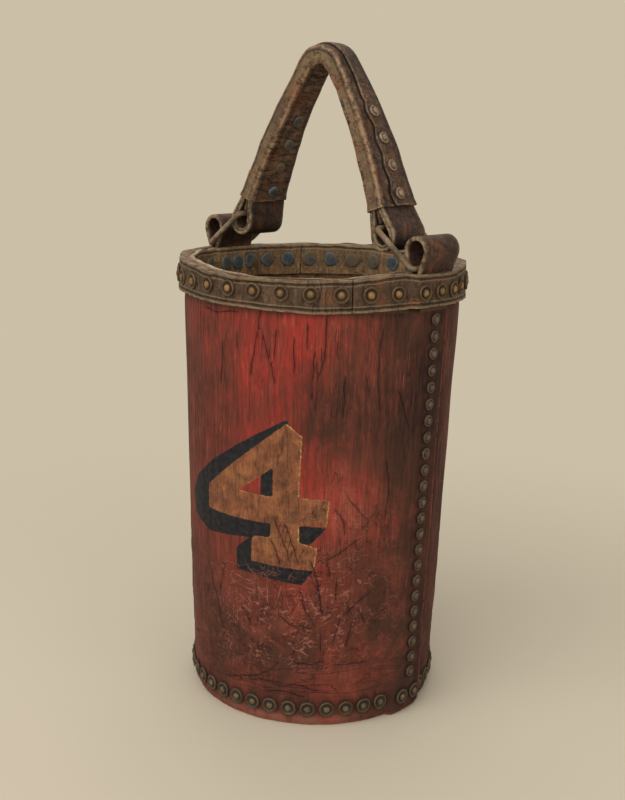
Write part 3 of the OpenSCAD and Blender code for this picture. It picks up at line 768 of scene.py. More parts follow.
def stained_red(paint, flat, mottled, strand, tone):
    """The red over brown, with its scratches, soot and grease, and the shadow beside the rivets."""
    browned = paint.remap(mottled, 0.35, 0.6, 0.55, 1.0)
    red, brown = (paint.ramp(tone, TONE_PLACES, tones) for tones in (REDS, BROWNS))
    red = paint.coat(red, brown, "brown", browned)
    tan = paint.patches(paint.sheet(1.0, 0.10, 2.0), (360, 5, 0.65), 0.52, 0.68, 0.0, 0.45)
    red = paint.coat(red, TAN, tan)
    scratch = paint.lines(paint.warped(paint.sheet(1.0, 0.035, 8.0), 0.001, 60, 2), 210, 0.010, 2, 0.5)
    kept = paint.patches(flat, (70, 3, 0.6), 0.46, 0.60)
    scratch = paint.times(scratch, kept, paint.remap("across", 0.10, 0.18))
    red = paint.coat(red, SCRATCHED_RED, scratch, 0.45)
    stain = paint.patches(paint.sheet(1.0, 0.8, 5.0), (34, 6, 0.7, 0.6), 0.36, 0.60)
    stain = paint.times(stain, "stain", paint.remap(strand, 0.3, 0.55, 0.6, 1.0))
    red = paint.coat(red, SOOT_OLIVE, stain, 0.9)
    return paint.coat(red, RIVET_SHADOW, "halo", 0.6)


def painted_numeral(paint, flat, colour, streak, strand):
    """The ochre figure over its black shade, with a broken bright edge."""
    edge = paint.math("MULTIPLY_ADD", paint.noise(flat, 420, 4, 0.65), 0.0020, -0.0010)
    black = paint.ramp(paint.noise(flat, 240, 4, 0.6), (0.35, 0.7), BLACKS)
    blotch = paint.noise(flat, 110, 6, 0.72, 0.4)
    ochre = paint.ramp(paint.weighted((streak, 0.16), (strand, 0.28), (blotch, 0.56)), OCHRE_PLACES, OCHRES)
    for tint, noise, low, high, strength in OCHRE_PATCHES:
        ochre = paint.coat(ochre, tint, paint.patches(flat, noise, low, high, 0.0, strength))
    glint = paint.remap(paint.math("ADD", "glint", edge), -0.0002, 0.0003)
    ochre = paint.coat(ochre, GLINT, glint, paint.patches(flat, (330, 4, 0.7), 0.46, 0.58, 0.15, 0.9))
    for field, over in (("shade", black), ("figure", ochre)):
        inside = paint.remap(paint.math("ADD", field, edge), -0.0002, 0.0002, 1.0, 0.0)
        colour = paint.coat(colour, over, inside)
    return colour


def crazed(paint, flat, colour, wobble, width):
    """Fine craze, pale along its ridges, where the lower wall has been crushed."""
    craze = paint.lines(paint.warped(paint.sheet(0.5, 1.0), 0.004, 80, 4), 120, 0.022, 2, 0.5, 0.6)
    veins = paint.lines(paint.warped(paint.sheet(1.0, 0.6, 7.0), 0.005, 60, 4), 105, 0.018, 3, 0.5, 0.8)
    pale = paint.times(paint.most(craze, veins), "crushed", paint.patches(flat, (42, 3, 0.6), 0.40, 0.52))
    pale = paint.most(paint.times(pale, 0.75), paint.drawn("pale", wobble, width))
    return paint.coat(colour, PALE_CRAZE, pale, 0.8), pale


def cracked(paint, flat, colour, wobble, width):
    """Folds under the numeral and over the foot, hair cracks along the hide, and the cracks of LINES."""
    folds = paint.lines(paint.warped(paint.sheet(1.0, 0.7, 3.0), 0.010, 40, 4), 48, 0.012, 4, 0.55, 0.4)
    kept = paint.patches(flat, (36, 3, 0.6), 0.44, 0.54)
    folds = paint.times(folds, paint.remap("crushed", 0.05, 0.5), kept)
    level = paint.lines(paint.warped(paint.sheet(0.16, 1.0, 6.0), 0.002, 60, 2), 150, 0.03, 2, 0.5)
    folds = paint.most(folds, paint.times(level, "wrinkled"))
    colour = paint.coat(colour, FOLD_BROWN, folds, 0.5)
    hairs = paint.lines(paint.warped(paint.sheet(1.0, 0.10, 1.0), 0.003, 90, 4), 75, 0.007, 3, 0.5)
    kept = paint.patches(flat, (38, 4, 0.6), 0.46, 0.58)
    hairs = paint.times(hairs, kept, paint.remap("across", 0.06, 0.14))
    colour = paint.coat(colour, HAIR_BROWN, hairs, 0.5)
    cracks = paint.drawn("dark", wobble, width)
    colour = paint.coat(colour, CRACK_SHADOW, paint.drawn("dark", wobble, 0.003), 0.35)
    return paint.coat(colour, CRACK_BLACK, cracks, 0.85), folds, hairs, cracks


def worn_edges(paint, flat, colour):
    """Rubbed edges, a foot that is partly worn and partly a painted highlight, a painted shadow beside the
    lap, and bare leather under the rim strips.
    """
    rubbed = paint.patches(flat, (170, 5, 0.7), 0.36, 0.56)
    worn = paint.patches(flat, (85, 5, 0.7), 0.30, 0.56, 0.2, 1.0)
    colour = paint.coat(colour, RUBBED_RED, "wear", rubbed, 0.7)
    # The pale foot is partly worn leather and partly a painted highlight.
    colour = paint.coat(colour, FOOT_WEAR_AND_HIGHLIGHT, "foot", worn, 0.65)
    # Painted shadow beside the lap's free edge.
    colour = paint.coat(colour, LAP_EDGE_SHADE, "edge_shade")
    return paint.coat(colour, BARE_RIM, paint.remap("across", 0.3085, 0.3100))


def painted_hide():
    """Red paint on the wall: streaked, cracked and stained, with the numeral over it."""
    paint = Paint("painted_hide", specular=0.15)
    flat = paint.sheet()
    wobble = paint.math("MULTIPLY_ADD", paint.noise(flat, 75, 2, 0.5), 0.0036, -0.0018)
    width = paint.patches(flat, (130, 3, 0.6), 0.35, 0.65, 0.0002, 0.0008)
    mottled, streak, strand, tone = hide_noises(paint, flat)
    colour = stained_red(paint, flat, mottled, strand, tone)
    colour = painted_numeral(paint, flat, colour, streak, strand)
    colour, pale = crazed(paint, flat, colour, wobble, width)
    colour, folds, hairs, cracks = cracked(paint, flat, colour, wobble, width)
    colour = worn_edges(paint, flat, colour)
    grain = paint.noise(flat, 900, 3, 0.6)
    bumps = [(paint.without(folds), 0.0006), (pale, 0.0004), (paint.without(cracks), 0.0005),
             (paint.without(hairs), 0.0003), (streak, 0.0006), (grain, 0.00012)]
    return paint.finish(colour, paint.remap(tone, 0.35, 0.65, 0.75, 0.55), bumps)


# Rows of rivets, each spot as (origin, outward axis, a level axis)
def wall_r(z):
    return BASE_R + (RIM_R - BASE_R) * np.minimum(z, STRAIGHT_Z) / STRAIGHT_Z


def wall_spot(angle, radius, z, tilt=0.0):
    a = math.radians(angle)
    out = np.array([math.cos(a) * math.cos(tilt), math.sin(a) * math.cos(tilt), -math.sin(tilt)])
    level = np.array([-math.sin(a), math.cos(a), 0])
    return np.array([radius * math.cos(a), radius * math.sin(a), z]), out, level


def leg_point(height, outward):
    """Place in the plane of a leg, and the leg's lean there. Below the sleeve end it runs on straight."""
    height, outward = np.asarray(height, float), np.asarray(outward, float)
    lean = END_LEAN + (TOP_LEAN - END_LEAN) * np.maximum(height, 0) / LEG_LENGTH
    below = np.minimum(height, 0)
    away, cos, sin = BOW_R + outward, math.cos(END_LEAN), math.sin(END_LEAN)
    x = LEG_END_X + away * np.cos(lean) - BOW_R * cos - below * sin
    z = SLEEVE_END_Z + away * np.sin(lean) - BOW_R * sin + below * cos
    return x, z, lean


def leg_spot(side, height):
    x, z, lean = leg_point(height, SLEEVE_HALF + FLAP_T)
    out = np.array([side * math.cos(lean), 0, math.sin(lean)])
    return np.array([side * x, 0, z]), out, np.array([0.0, 1.0, 0.0])


WALL_TILT = math.atan((RIM_R - BASE_R) / STRAIGHT_Z)
BASE_ANGLES = np.linspace(BASE_FIRST, BASE_LAST, BASE_COUNT)
RIM_PITCH = (180 - 2 * TAB_RIVET_ANGLE) / (RIM_BETWEEN + 1)
RIM_ANGLES = [tab + TAB_RIVET_ANGLE + k * RIM_PITCH for tab in (0, 180) for k in range(1, RIM_BETWEEN + 1)]
TAB_ANGLES = [tab + k * TAB_RIVET_ANGLE for tab in (0, 180) for k in (-1, 0, 1)]
SEAM_HEIGHTS = np.linspace(SEAM_LOW, SEAM_TOP, SEAM_COUNT)
SEAM_ROW = [wall_spot(0, wall_r(z) + PLY_STEP, z, WALL_TILT) for z in SEAM_HEIGHTS]
BASE_ROW = [wall_spot(a, wall_r(BASE_ROW_Z), BASE_ROW_Z, WALL_TILT) for a in BASE_ANGLES]
LAP_ROW = [wall_spot(a, wall_r(BASE_ROW_Z) + PLY_STEP, BASE_ROW_Z, WALL_TILT)
           for a in (-LAP_RIVET_ANGLE, LAP_RIVET_ANGLE)]
RIM_ROW = [wall_spot(a, BAND_MID_R + BAND_T / 2, RIM_ROW_Z) for a in RIM_ANGLES]
TAB_ROW = [wall_spot(a, BAND_MID_R + BAND_T / 2 + TAIL_STEP, RIM_ROW_Z) for a in TAB_ANGLES]
BASE_GRIP = WALL_T + FIT + BOTTOM_T
SEAM_GRIP = 2 * WALL_T + FIT
RIM_GRIP = 0.0108
TAB_GRIP = RIM_GRIP + 2 * TAIL_STEP
LEG_GRIP = 2 * SLEEVE_HALF + FLAP_T

# The wall's outer face as rows of points up it. Its last rows are the outer ply of the lap, which ends
# below the band.
LAP_START = 360 + JOG_END
LAP_END = 360 + LAP_HALF
WALL_TURNS = np.concatenate([np.linspace(-LAP_HALF, LAP_START, 292), np.linspace(LAP_START, LAP_END, 16)[1:]])
WALL_LEVELS = np.concatenate([[0, 0.0012, 0.003, 0.005], np.linspace(0.0072, 0.3065, 137),
                              [STRAIGHT_Z, 0.3115, 0.317, 0.323, 0.329, 0.3325, BODY_H]])
TINY = 1e-6


def rivet_calm(degrees, z):
    """From 0 at a rivet to 1 well away from the rows, so that washers lie on the wall's true surface."""
    lap = np.concatenate([BASE_ANGLES, [360 - LAP_RIVET_ANGLE, 360 + LAP_RIVET_ANGLE, LAP_RIVET_ANGLE]])
    turn = np.min(np.abs(np.asarray(degrees)[..., None] % 360 - lap % 360), axis=-1)
    base = np.hypot(np.radians(turn) * BASE_R, z - BASE_ROW_Z)
    pitch = SEAM_HEIGHTS[1] - SEAM_HEIGHTS[0]
    nearest = SEAM_LOW + pitch * np.clip(np.round((z - SEAM_LOW) / pitch), 0, SEAM_COUNT - 1)
    seam = np.hypot(np.radians(wrapped(degrees)) * FLAT_R, z - nearest)
    return smooth(np.minimum(base - 0.001, seam), 0.0045, 0.0095)


def wall_swell(degrees, z):
    """How far the hide stands out from its cone: fluted, crushed low on the front, and rolled at the foot."""
    p = round_at(FLAT_R, np.radians(degrees), z)
    fluted = 0.00035 * wander(p, (0.011, 0.011, 0.09)) + 0.0006 * wander(p, 0.045, 2)
    front = 0.35 + 0.65 * bell(wrapped(degrees - 298), 48)
    low = smooth(z, 0.022, 0.05) * (1 - smooth(z, 0.105, 0.15)) * front
    crushed = 0.0012 * wander(p, (0.022, 0.022, 0.012), 3) - 0.0010 * creases(p, (0.03, 0.03, 0.011), 4)
    crushed -= 0.0008 * creases(p, (0.016, 0.016, 0.02), 5)
    foot = (1 - smooth(z, 0.02, 0.035)) * (0.0004 * wander(p, 0.012, 6))
    roll = -0.0022 * (1 - smooth(z, 0.0, 0.006)) ** 2
    return rivet_calm(degrees, z) * (fluted + low * crushed + foot + 0.00025) + roll


def wall_shape():
    """Angle, height, radius and rise of each point of the wall's outer face, as rows up it."""
    turn, z = np.meshgrid(WALL_TURNS, WALL_LEVELS, indexing="ij")
    outer = turn > LAP_START + 0.01
    start = 348.5 - 7.5 * smooth(z, 0.022, 0.06)
    lift = PLY_STEP * smooth(turn, start, LAP_START)
    lift = np.where(outer, PLY_STEP, lift * (1 - smooth(z, STRAIGHT_Z, 0.3115)))
    under_band = BAND_Z + 0.0005 + np.maximum(around_wave(turn, LOWER_WAVE), 0.0007)
    z = np.where(outer & (z > STRAIGHT_Z - TINY), under_band, z)
    turn = turn + wander(at(z, 0, 0), 0.02, 9) * 0.25 * smooth(turn, 360, LAP_END)
    radius = wall_r(z) + lift + wall_swell(turn, z) * (1 - smooth(z, 0.303, 0.310))
    return turn, z, radius, around_wave(turn, RIM_WAVE) * smooth(z, 0.328, BODY_H)


def wall_faces():
    """Faces of the wall's outer face. Those of the lap's outer ply stop below the band."""
    columns = len(WALL_LEVELS)
    top = int(np.searchsorted(WALL_LEVELS, STRAIGHT_Z - TINY))
    last_full = int(np.searchsorted(WALL_TURNS, LAP_START - 0.01))
    faces = []
    for i in range(len(WALL_TURNS) - 1):
        for k in range(i * columns, i * columns + (top if i >= last_full else columns - 1)):
            faces.append((k, k + columns, k + columns + 1, k + 1))
    return faces


def soft_spots(front, z, *spots):
    """Soft spots of (strength, angle, half width, height, half height) on the wall, added up."""
    return sum(strength * bell(front - angle, wide) * bell(z - height, tall)
               for strength, angle, wide, height, tall in spots)


def painted_light_and_tone(turn, front, z):
    """Painted light and shade, with some tone of the paint itself: how much lighter or darker the paint is.
    """
    high = smooth(z, 0.11, 0.24)
    light = around_wave(front, PAINTED_LIGHT_AND_TONE_HIGH) * high + around_wave(front, PAINTED_LIGHT_AND_TONE_LOW) * (1 - high)
    light -= soft_spots(front, z, (0.07, -43, 11, 0.236, 0.03), (0.05, -16, 7, 0.215, 0.03))
    light += soft_spots(front, z, (0.11, -34, 12, 0.185, 0.035))
    # Painted shadow: a dark line just under the rim band.
    light -= 0.10 * smooth(z, 0.3045, 0.3095)
    # Painted highlight low on the foot around -75 degrees.
    light += 0.04 * (1 - smooth(z, 0.006, 0.020)) * bell(front + 75, 36)
    # Painted shade low on the wall around -14 degrees, down by the floor.
    light -= 0.12 * (1 - smooth(z, 0.004, 0.034)) * bell(front + 14, 22)
    broken = 0.5 + 0.5 * wander(at(np.radians(turn) * FLAT_R, z, 0), (0.012, 0.05, 1), 13)
    light += 0.16 * bell(front + 8, 5) * smooth(z, 0.285, 0.294) * broken
    return light - 0.10 * smooth(turn, 362, 364) - 0.20


def wall_fields(turn, z):
    """What the paint on the wall needs to know at each point, most of it from 0 to 1."""
    front = wrapped(turn)
    brown = 0.85 * smooth(front, -56, -34) * (1 - smooth(front, 60, 90))
    brown = np.maximum(0.75 * (1 - smooth(z, 0.09, 0.16)), brown)
    brown = np.maximum(brown, 0.35 - 0.35 * bell(front + 64, 26) * smooth(z, 0.13, 0.22))
    stain = 0.25 + soft_spots(front, z, (0.75, -72, 40, 0.062, 0.026)) + 0.6 * bell(front + 12, 16)
    stain += soft_spots(front, z, (0.8, -43, 13, 0.236, 0.030))
    crushed = bell(front + 62, 34) * smooth(z, 0.035, 0.055) * (1 - smooth(z, 0.112, 0.130))
    crushed += 0.7 * bell(front + 38, 20) * smooth(z, 0.045, 0.07) * (1 - smooth(z, 0.16, 0.20))
    wrinkled = bell(front + 52, 50) * smooth(z, 0.020, 0.028) * (1 - smooth(z, 0.042, 0.060))
    wear = np.maximum(smooth(turn, LAP_END - 1.0, LAP_END - 0.3), 0.8 * (1 - smooth(z, 0.0, 0.0035)))
    # The light field is painted light and shade, with some tone of the paint itself.
    return {"along": np.radians(turn) * FLAT_R, "across": z, "light": painted_light_and_tone(turn, front, z),
            "brown": brown, "stain": np.clip(stain, 0, 1), "crushed": np.clip(crushed, 0, 1),
            "wrinkled": wrinkled, "wear": wear, "halo": 1 - rivet_calm(turn, z),
            # Painted shadow on the inner ply beside the lap's free edge.
            "edge_shade": 0.8 - 0.8 * smooth(turn, LAP_HALF + 4.4, LAP_HALF + 6.0),
            # The pale foot: partly wear, partly painted highlight.
            "foot": (1 - smooth(z, 0.004, 0.011)) * bell(front + 62, 36),
            **numeral_fields(turn, z), **line_fields(front, z)}


def build_wall():
    turn, z, radius, rise = wall_shape()
    faces = wall_faces()
    used = np.unique(faces)
    order = np.full(turn.size, -1)
    order[used] = np.arange(len(used))
    verts = round_at(radius, np.radians(turn), z + rise).reshape(-1, 3)[used]
    fields = {name: values.ravel()[used] for name, values in wall_fields(turn, z).items()}
    wall = new_object("bucket_wall", verts, order[np.array(faces)].tolist(), [painted_hide(), INSIDE], fields,
                      outward=False)
    thick = wall.modifiers.new("thickness", "SOLIDIFY")
    thick.thickness = WALL_T
    thick.offset = -1
    thick.material_offset = 1
    thick.material_offset_rim = 1
    wall.data = bpy.data.meshes.new_from_object(wall.evaluated_get(bpy.context.evaluated_depsgraph_get()))
    wall.modifiers.clear()
    wall.data.set_sharp_from_angle(angle=math.radians(40))
    finish_piece(wall, "bucket", "body_wall")


def build_strip(name, mid_r, thickness, butt, step, material, node, seed):
    """A strip round the rim that stands out over the two tab tails. step is below 0 for the inside one."""
    section = oblong(1.0, thickness / 2, thickness * 0.28, 3, 14)
    share = (np.clip(section[:, 0], -1, 1) + 1) / 2
    through = section[:, 1]
    turns = np.radians(np.linspace(butt + BUTT_HALF, butt + 360 - BUTT_HALF, STRIP_ROWS))
    turn = np.tile(turns[:, None], (1, len(section)))
    degrees = np.degrees(turn)
    from_tab = np.abs(mid_r * np.sin(turn))
    line = round_at(mid_r, turn, 0)
    ripple = 0.0007 * wander(line, 0.011, seed) + 0.0006 * wander(line, 0.027, seed + 1)
    high = BODY_H + around_wave(degrees, RIM_WAVE) + ripple * smooth(from_tab, 0.018, 0.028) - 0.0002
    low = BAND_Z + around_wave(degrees, LOWER_WAVE) + 0.0005 * wander(line, 0.016, seed + 2)
    z = low + (high - low) * share
    to_rivet = np.min(np.abs(wrapped(degrees[..., None] - np.array(RIM_ANGLES + TAB_ANGLES))), axis=-1)
    near = bell(np.hypot(np.radians(to_rivet) * mid_r, z - RIM_ROW_Z), 0.0085)
    p = round_at(mid_r, turn, 0.02 * share)
    face = wander(p, (0.009, 0.009, 0.02), seed + 3) * 0.0005 + wander(p, 0.03, seed + 4) * 0.0006
    folds = creases(p, (0.018, 0.018, 0.09), seed + 5) * 0.0009
    skin = np.where(through * np.sign(step) > 0, np.sign(step) * (face + 0.0004 - folds) * (1 - near), 0)
    flare = np.sign(step) * 0.0007 * smooth(share, 0.8, 1.0) * wander(line, 0.02, seed + 6)
    radius = mid_r + step * (1 - smooth(from_tab, 0.0200, 0.0255)) + through + skin + flare
    border = (0.5 - np.abs(share - 0.5)) * (high - low) if step > 0 else high - z
    wear = 1 - smooth(border, 0.0002, 0.0010)
    fields = {"along": turn * mid_r, "across": z, "border": border, "wear": wear}
    thing = new_object(name, round_at(radius, turn, z), loft_faces(*turn.shape), [material], fields)
    finish_piece(thing, "bucket", node)


def build_bottom():
    """Leather cup whose flange is turned down inside the wall."""
    low_r = BASE_R - WALL_T - FIT
    high_r = float(wall_r(BOTTOM_H)) - WALL_T - FIT
    corner_r, corner_z = high_r - BOTTOM_CORNER, BOTTOM_H - BOTTOM_CORNER
    inner = BOTTOM_CORNER - BOTTOM_T
    pole = 0.0004
    profile = [(pole, BOTTOM_H - BOTTOM_T)]
    profile += [(x, BOTTOM_H - BOTTOM_T) for x in np.linspace(0.01, corner_r, 14)]
    profile += [(corner_r + inner * math.sin(a), corner_z + inner * math.cos(a))
                for a in np.linspace(0.3, math.pi / 2, 4)]
    profile += [(low_r - BOTTOM_T + 0.0003 * t, corner_z * (1 - t)) for t in (0.33, 0.66, 0.97)]
    profile += [(low_r - BOTTOM_T + 0.0006, 0.0), (low_r - 0.0006, 0.0)]
    profile += [(low_r + (high_r - low_r) * t, corner_z * t) for t in (0.04, 0.4, 0.7)]
    profile += [(corner_r + BOTTOM_CORNER * math.cos(a), corner_z + BOTTOM_CORNER * math.sin(a))
                for a in np.linspace(0, math.pi / 2, 8)]
    profile += [(x, BOTTOM_H) for x in np.linspace(corner_r, 0.01, 14)[1:]]
    profile += [(pole, BOTTOM_H)]
    r, z = (np.tile(values[:, None], (1, BOTTOM_SPOKES)) for values in np.array(profile).T)
    turn = np.radians(np.arange(BOTTOM_SPOKES) * 360 / BOTTOM_SPOKES)
    disc = smooth(z, 0.018, 0.022)
    dent = 0.0012 * wander(round_at(r, turn, 0), 0.035, 12) * (1 - smooth(r, 0.07, 0.083)) * disc
    verts = round_at(r, turn, z + dent - 0.0006 * (1 - smooth(r, 0.0, 0.08)) * disc)
    wear = 1 - smooth(z, 0.0, 0.002)
    thing = new_object("bucket_bottom", verts, loft_faces(*r.shape), [BOTTOM], {"wear": wear})
    finish_piece(thing, "bucket", "bottom_cup")


def ribbon(path, width, thickness):
    """Rings of points round a flat path of (outward, up) pairs, as outward, across and up, and their wear."""
    section = oblong(width / 2, thickness / 2, thickness * 0.36, 3, 16)
    d = np.gradient(path, axis=0)
    d /= np.linalg.norm(d, axis=1, keepdims=True)
    outward = path[:, :1] + d[:, 1:] * section[:, 1]
    up = path[:, 1:] - d[:, :1] * section[:, 1]
    across = np.tile(section[:, 0], (len(path), 1))
    return outward, across, up, smooth(np.abs(across), width / 2 - 0.0016, width / 2 - 0.0006)


def sagitta(radius, half):
    """How far an arc of this radius falls away at half its chord."""
    return radius - np.sqrt(radius * radius - half * half)


def build_tab(side, word):
    """Strap folded over a ring bar, with a curved tail on each face of the wall."""
    eye = [(x, BODY_H + y) for x, y in eye_path(TAIL_HALF, TAB_EYE_R + TAB_T / 2, TAB_REACH)]
    path = softened([(TAIL_HALF, TAIL_LOW)] + eye + [(-TAIL_HALF, TAIL_LOW)])
    out, y, z, wear = ribbon(path, TAB_W, TAB_T)
    p = at(out, y, z)
    free = smooth(z, 0.340, 0.346)
    out = out + free * (0.0004 * wander(p, 0.014, 3 + side))
    y = y * (1 + 0.012 * free * wander(p * (1, 0, 1), 0.02, 5 + side))
    radius = WALL_MID_R + np.sign(path[:, :1]) * TAIL_HALF
    x = WALL_MID_R + out - sagitta(radius, y) * (1 - smooth(z, 0.327, 0.336))
    verts = at(side * x, side * y, z)
    thing = new_object("tab_fold_" + word, verts, loft_faces(*y.shape), [TAB], {"wear": wear})
    finish_piece(thing, "bucket", "tab_" + word)


def joined(parts, closed=False):
    """Lofts given as (points, wear) made into one mesh's points, faces and fields."""
    faces, first = [], 0
    for points, wear in parts:
        rows, columns = wear.shape
        faces += loft_faces(rows, columns, closed, first)
        first += rows * columns
    verts = np.concatenate([points.reshape(-1, 3) for points, wear in parts])
    return verts, faces, {"wear": np.concatenate([wear.ravel() for points, wear in parts])}


def leg_place(side, outward, y, up):
    """Points given outward from a handle leg's middle line, across it and up it."""
    x, z, _ = leg_point(up, outward)
    return at(side * x, side * y, z)


def strap_end(side, half, radius, thickness, inside, seed):
    """One folded end of a handle strap, which runs up inside the sleeve, as its points and wear."""
    eye = [(x, -y) for x, y in eye_path(half, radius, LOOP_REACH)]
    out, y, up, wear = ribbon(softened([(half, inside)] + eye + [(-half, inside)]), STRAP_W, thickness)
    p = at(out, y, up)
    free = 1 - smooth(up, -0.004, 0.0)
    out = out + free * 0.0003 * wander(p, 0.012, seed)
    y = y * (1 + 0.015 * free * wander(p * (1, 0, 1), 0.018, seed + 1))
    return leg_place(side, out, y, up), wear


def build_strap():
    ends = [strap_end(side, STRAP_HALF, STRAP_LOOP_R, STRAP_T, 0.02, 20 + side) for side in (1, -1)]
    verts, faces, fields = joined(ends)
    thing = new_object("strap_loops", verts, faces, [STRAP], fields)
    finish_piece(thing, "handle", "handle_strap")


def build_liner(side, word):
    verts, faces, fields = joined([strap_end(side, LINER_HALF, LINER_LOOP_R, LINER_T, 0.018, 30 + side)])
    thing = new_object("loop_ply_" + word, verts, faces, [LINER], fields)
    finish_piece(thing, "handle", "loop_liner_" + word)


def build_core():
    """The ends of the stuffing that show between the plies of each loop."""
    section = oblong(STRAP_W / 2 - 0.001, STUFFING_T / 2, 0.0012, 3, 12)
    y, up = np.meshgrid(section[:, 0], -np.linspace(BAR_REACH - WIRE_R - 0.0005, -0.016, 16))
    p = at(section[:, 1], y, up)
    up = np.where(up < 0, up + 0.0006 * (0.5 + 0.5 * wander(p, 0.003, 40)), up)
    out = section[:, 1] * (1 + 0.06 * wander(p, 0.004, 41)) * 0.97
    verts, faces, fields = joined([(leg_place(side, out, y, up), np.zeros(y.shape)) for side in (1, -1)])
    thing = new_object("stuffing_ends", verts, faces, [STUFFING], fields)
    finish_piece(thing, "handle", "handle_core")


def sleeve_section(half, edge):
    """The sleeve's outline as (across, outward) points, and each one's wear, side, gap and pleated values."""
    top = SLEEVE_HALF + FLAP_T
    flat, low = half - SLEEVE_CORNER, SLEEVE_HALF - SLEEVE_CORNER
    points, looks = [], []

    def add(w, n, wear=0.0, face=0.0, edge_shade=0.0):
        # Painted shade: a dark stripe just inside each ridge on the flat faces.
        near_ridge = bell(abs(w) - half + SLEEVE_CORNER + 0.0008, 0.0022) * (abs(w) < flat)
        points.append((w, n))
        looks.append((wear, face, max(edge_shade, 0.55 * near_ridge), float(n < 0) * (1 - face)))

    def turn(cx, cy, start):
        for share in np.linspace(0, 1, 9).tolist():
            a = math.radians(start + 90 * share)
            wear = max(0, 1 - abs(2 * share - 1) * 1.5)
            add(cx + SLEEVE_CORNER * math.cos(a), cy + SLEEVE_CORNER * math.sin(a), wear)

    turn(flat, top - SLEEVE_CORNER, 0)
    for w in np.linspace(flat, edge + 0.0012, 16)[1:]:
        add(w, top)
    add(edge + 0.0005, top - 0.0001, 0.3)
    add(edge, top - 0.0005, 0.3)
    # Painted shadow under the flap's free edge.
    add(edge + 0.0001, SLEEVE_HALF + 0.0001, edge_shade=1.0)
    add(edge - 0.0012, SLEEVE_HALF, edge_shade=0.8)
    for w in np.linspace(edge - 0.0026, -flat, 7)[:-1]:
        add(w, SLEEVE_HALF)
    turn(-flat, low, 90)
    for n in np.linspace(low, -low, 9)[1:-1]:
        add(-half, n, face=1.0)
    turn(-flat, -low, 180)
    for w in np.linspace(-flat, flat, 26)[1:-1]:
        add(w, -SLEEVE_HALF)
    turn(flat, -low, 270)
    for n in np.linspace(-low, top - SLEEVE_CORNER, 9)[1:-1]:
        add(half, n, face=1.0)
    return np.array(points), np.array(looks)


def sleeve_stations():
    """Places along the sleeve as (x, z, lean, run up the leg), with the run below 0 on the way down."""
    rise = [(*map(float, leg_point(s, 0)), s) for s in np.linspace(0, LEG_LENGTH, 72)[:-1]]
    grip = [(GRIP_R * math.cos(a), GRIP_Z + GRIP_R * math.sin(a), a, LEG_LENGTH)
            for a in np.linspace(TOP_LEAN, math.pi - TOP_LEAN, 31)]
    return rise + grip + [(-x, z, math.pi - a, -s) for x, z, a, s in reversed(rise)]


def sleeve_ring(cx, cz, a, s):
    """Points and looks of the sleeve round one station."""
    s = abs(s)
    share = float(np.clip((cz - SLEEVE_END_Z) / (GRIP_Z - SLEEVE_END_Z), 0, 1))
    half = (SLEEVE_W + (GRIP_W - SLEEVE_W) * share) / 2
    edge = -half * FLAP_SHARE + 0.0009 * float(wander(at(cx, 0.0, cz), 0.013, 50))
    if s < LEG_FIRST + (LEG_RIVETS - 0.5) * LEG_PITCH:
        edge -= 0.0011 * math.cos(2 * math.pi * (s - LEG_FIRST) / LEG_PITCH)
    points, looks = sleeve_section(half, edge)
    w, out = points.T
    wear, face = looks[:, 0].copy(), looks[:, 1]
    p = at(cx + out * math.cos(a), w, cz + out * math.sin(a))
    to_rivet = min(abs(s - LEG_FIRST - k * LEG_PITCH) for k in range(LEG_RIVETS))
    calm = smooth(np.hypot(w, to_rivet), 0.004, 0.008)
    pleated = smooth(-out, 0.005, 0.0075) * (0.35 + 0.65 * smooth(s, 0.07, LEG_LENGTH))
    swell = 0.00045 * wander(p, 0.010, 51) + 0.0005 * wander(p, 0.026, 52)
    swell = swell - pleated * 0.0011 * creases(p, (0.006, 0.05, 0.006), 53)
    crown = 0.0011 * (np.abs(w) / half) ** 2.6
    pinch = 0.0003 * wear * (out < 0)
    out = out + np.sign(out) * (calm * (swell - 0.0002) - crown + pinch)
    w = w * (1 - 0.035 * face * (1 - (out / SLEEVE_HALF) ** 2)) + 0.0003 * np.sign(w) * wander(p, 0.012, 54)
    flare = 0.0006 * (1 - smooth(s, 0, 0.006))
    w = w * (1 + flare / half)
    out = out * (1 + flare / SLEEVE_HALF)
    ragged = 0.0
    if s == 0:
        ragged = 0.0007 * wander(at(w, out, 0), 0.007, 55)
        looks[:, 0] = np.maximum(wear, 0.75)
    ring = at(cx + out * math.cos(a) - ragged * math.sin(a), w, cz + out * math.sin(a) + ragged * math.cos(a))
    return ring, looks


def sleeve_lining(ring, cx, cz, a, depth):
    """The sleeve's inner face at one of its ends, depth further along."""
    inset = 1 - SLEEVE_T / SLEEVE_HALF
    centre = np.array([cx, 0.0, cz])
    shrunk = centre + (ring - centre) * np.array([inset, 1 - SLEEVE_T / (SLEEVE_W / 2), inset])
    return shrunk + depth * np.array([-math.sin(a), 0, math.cos(a)])


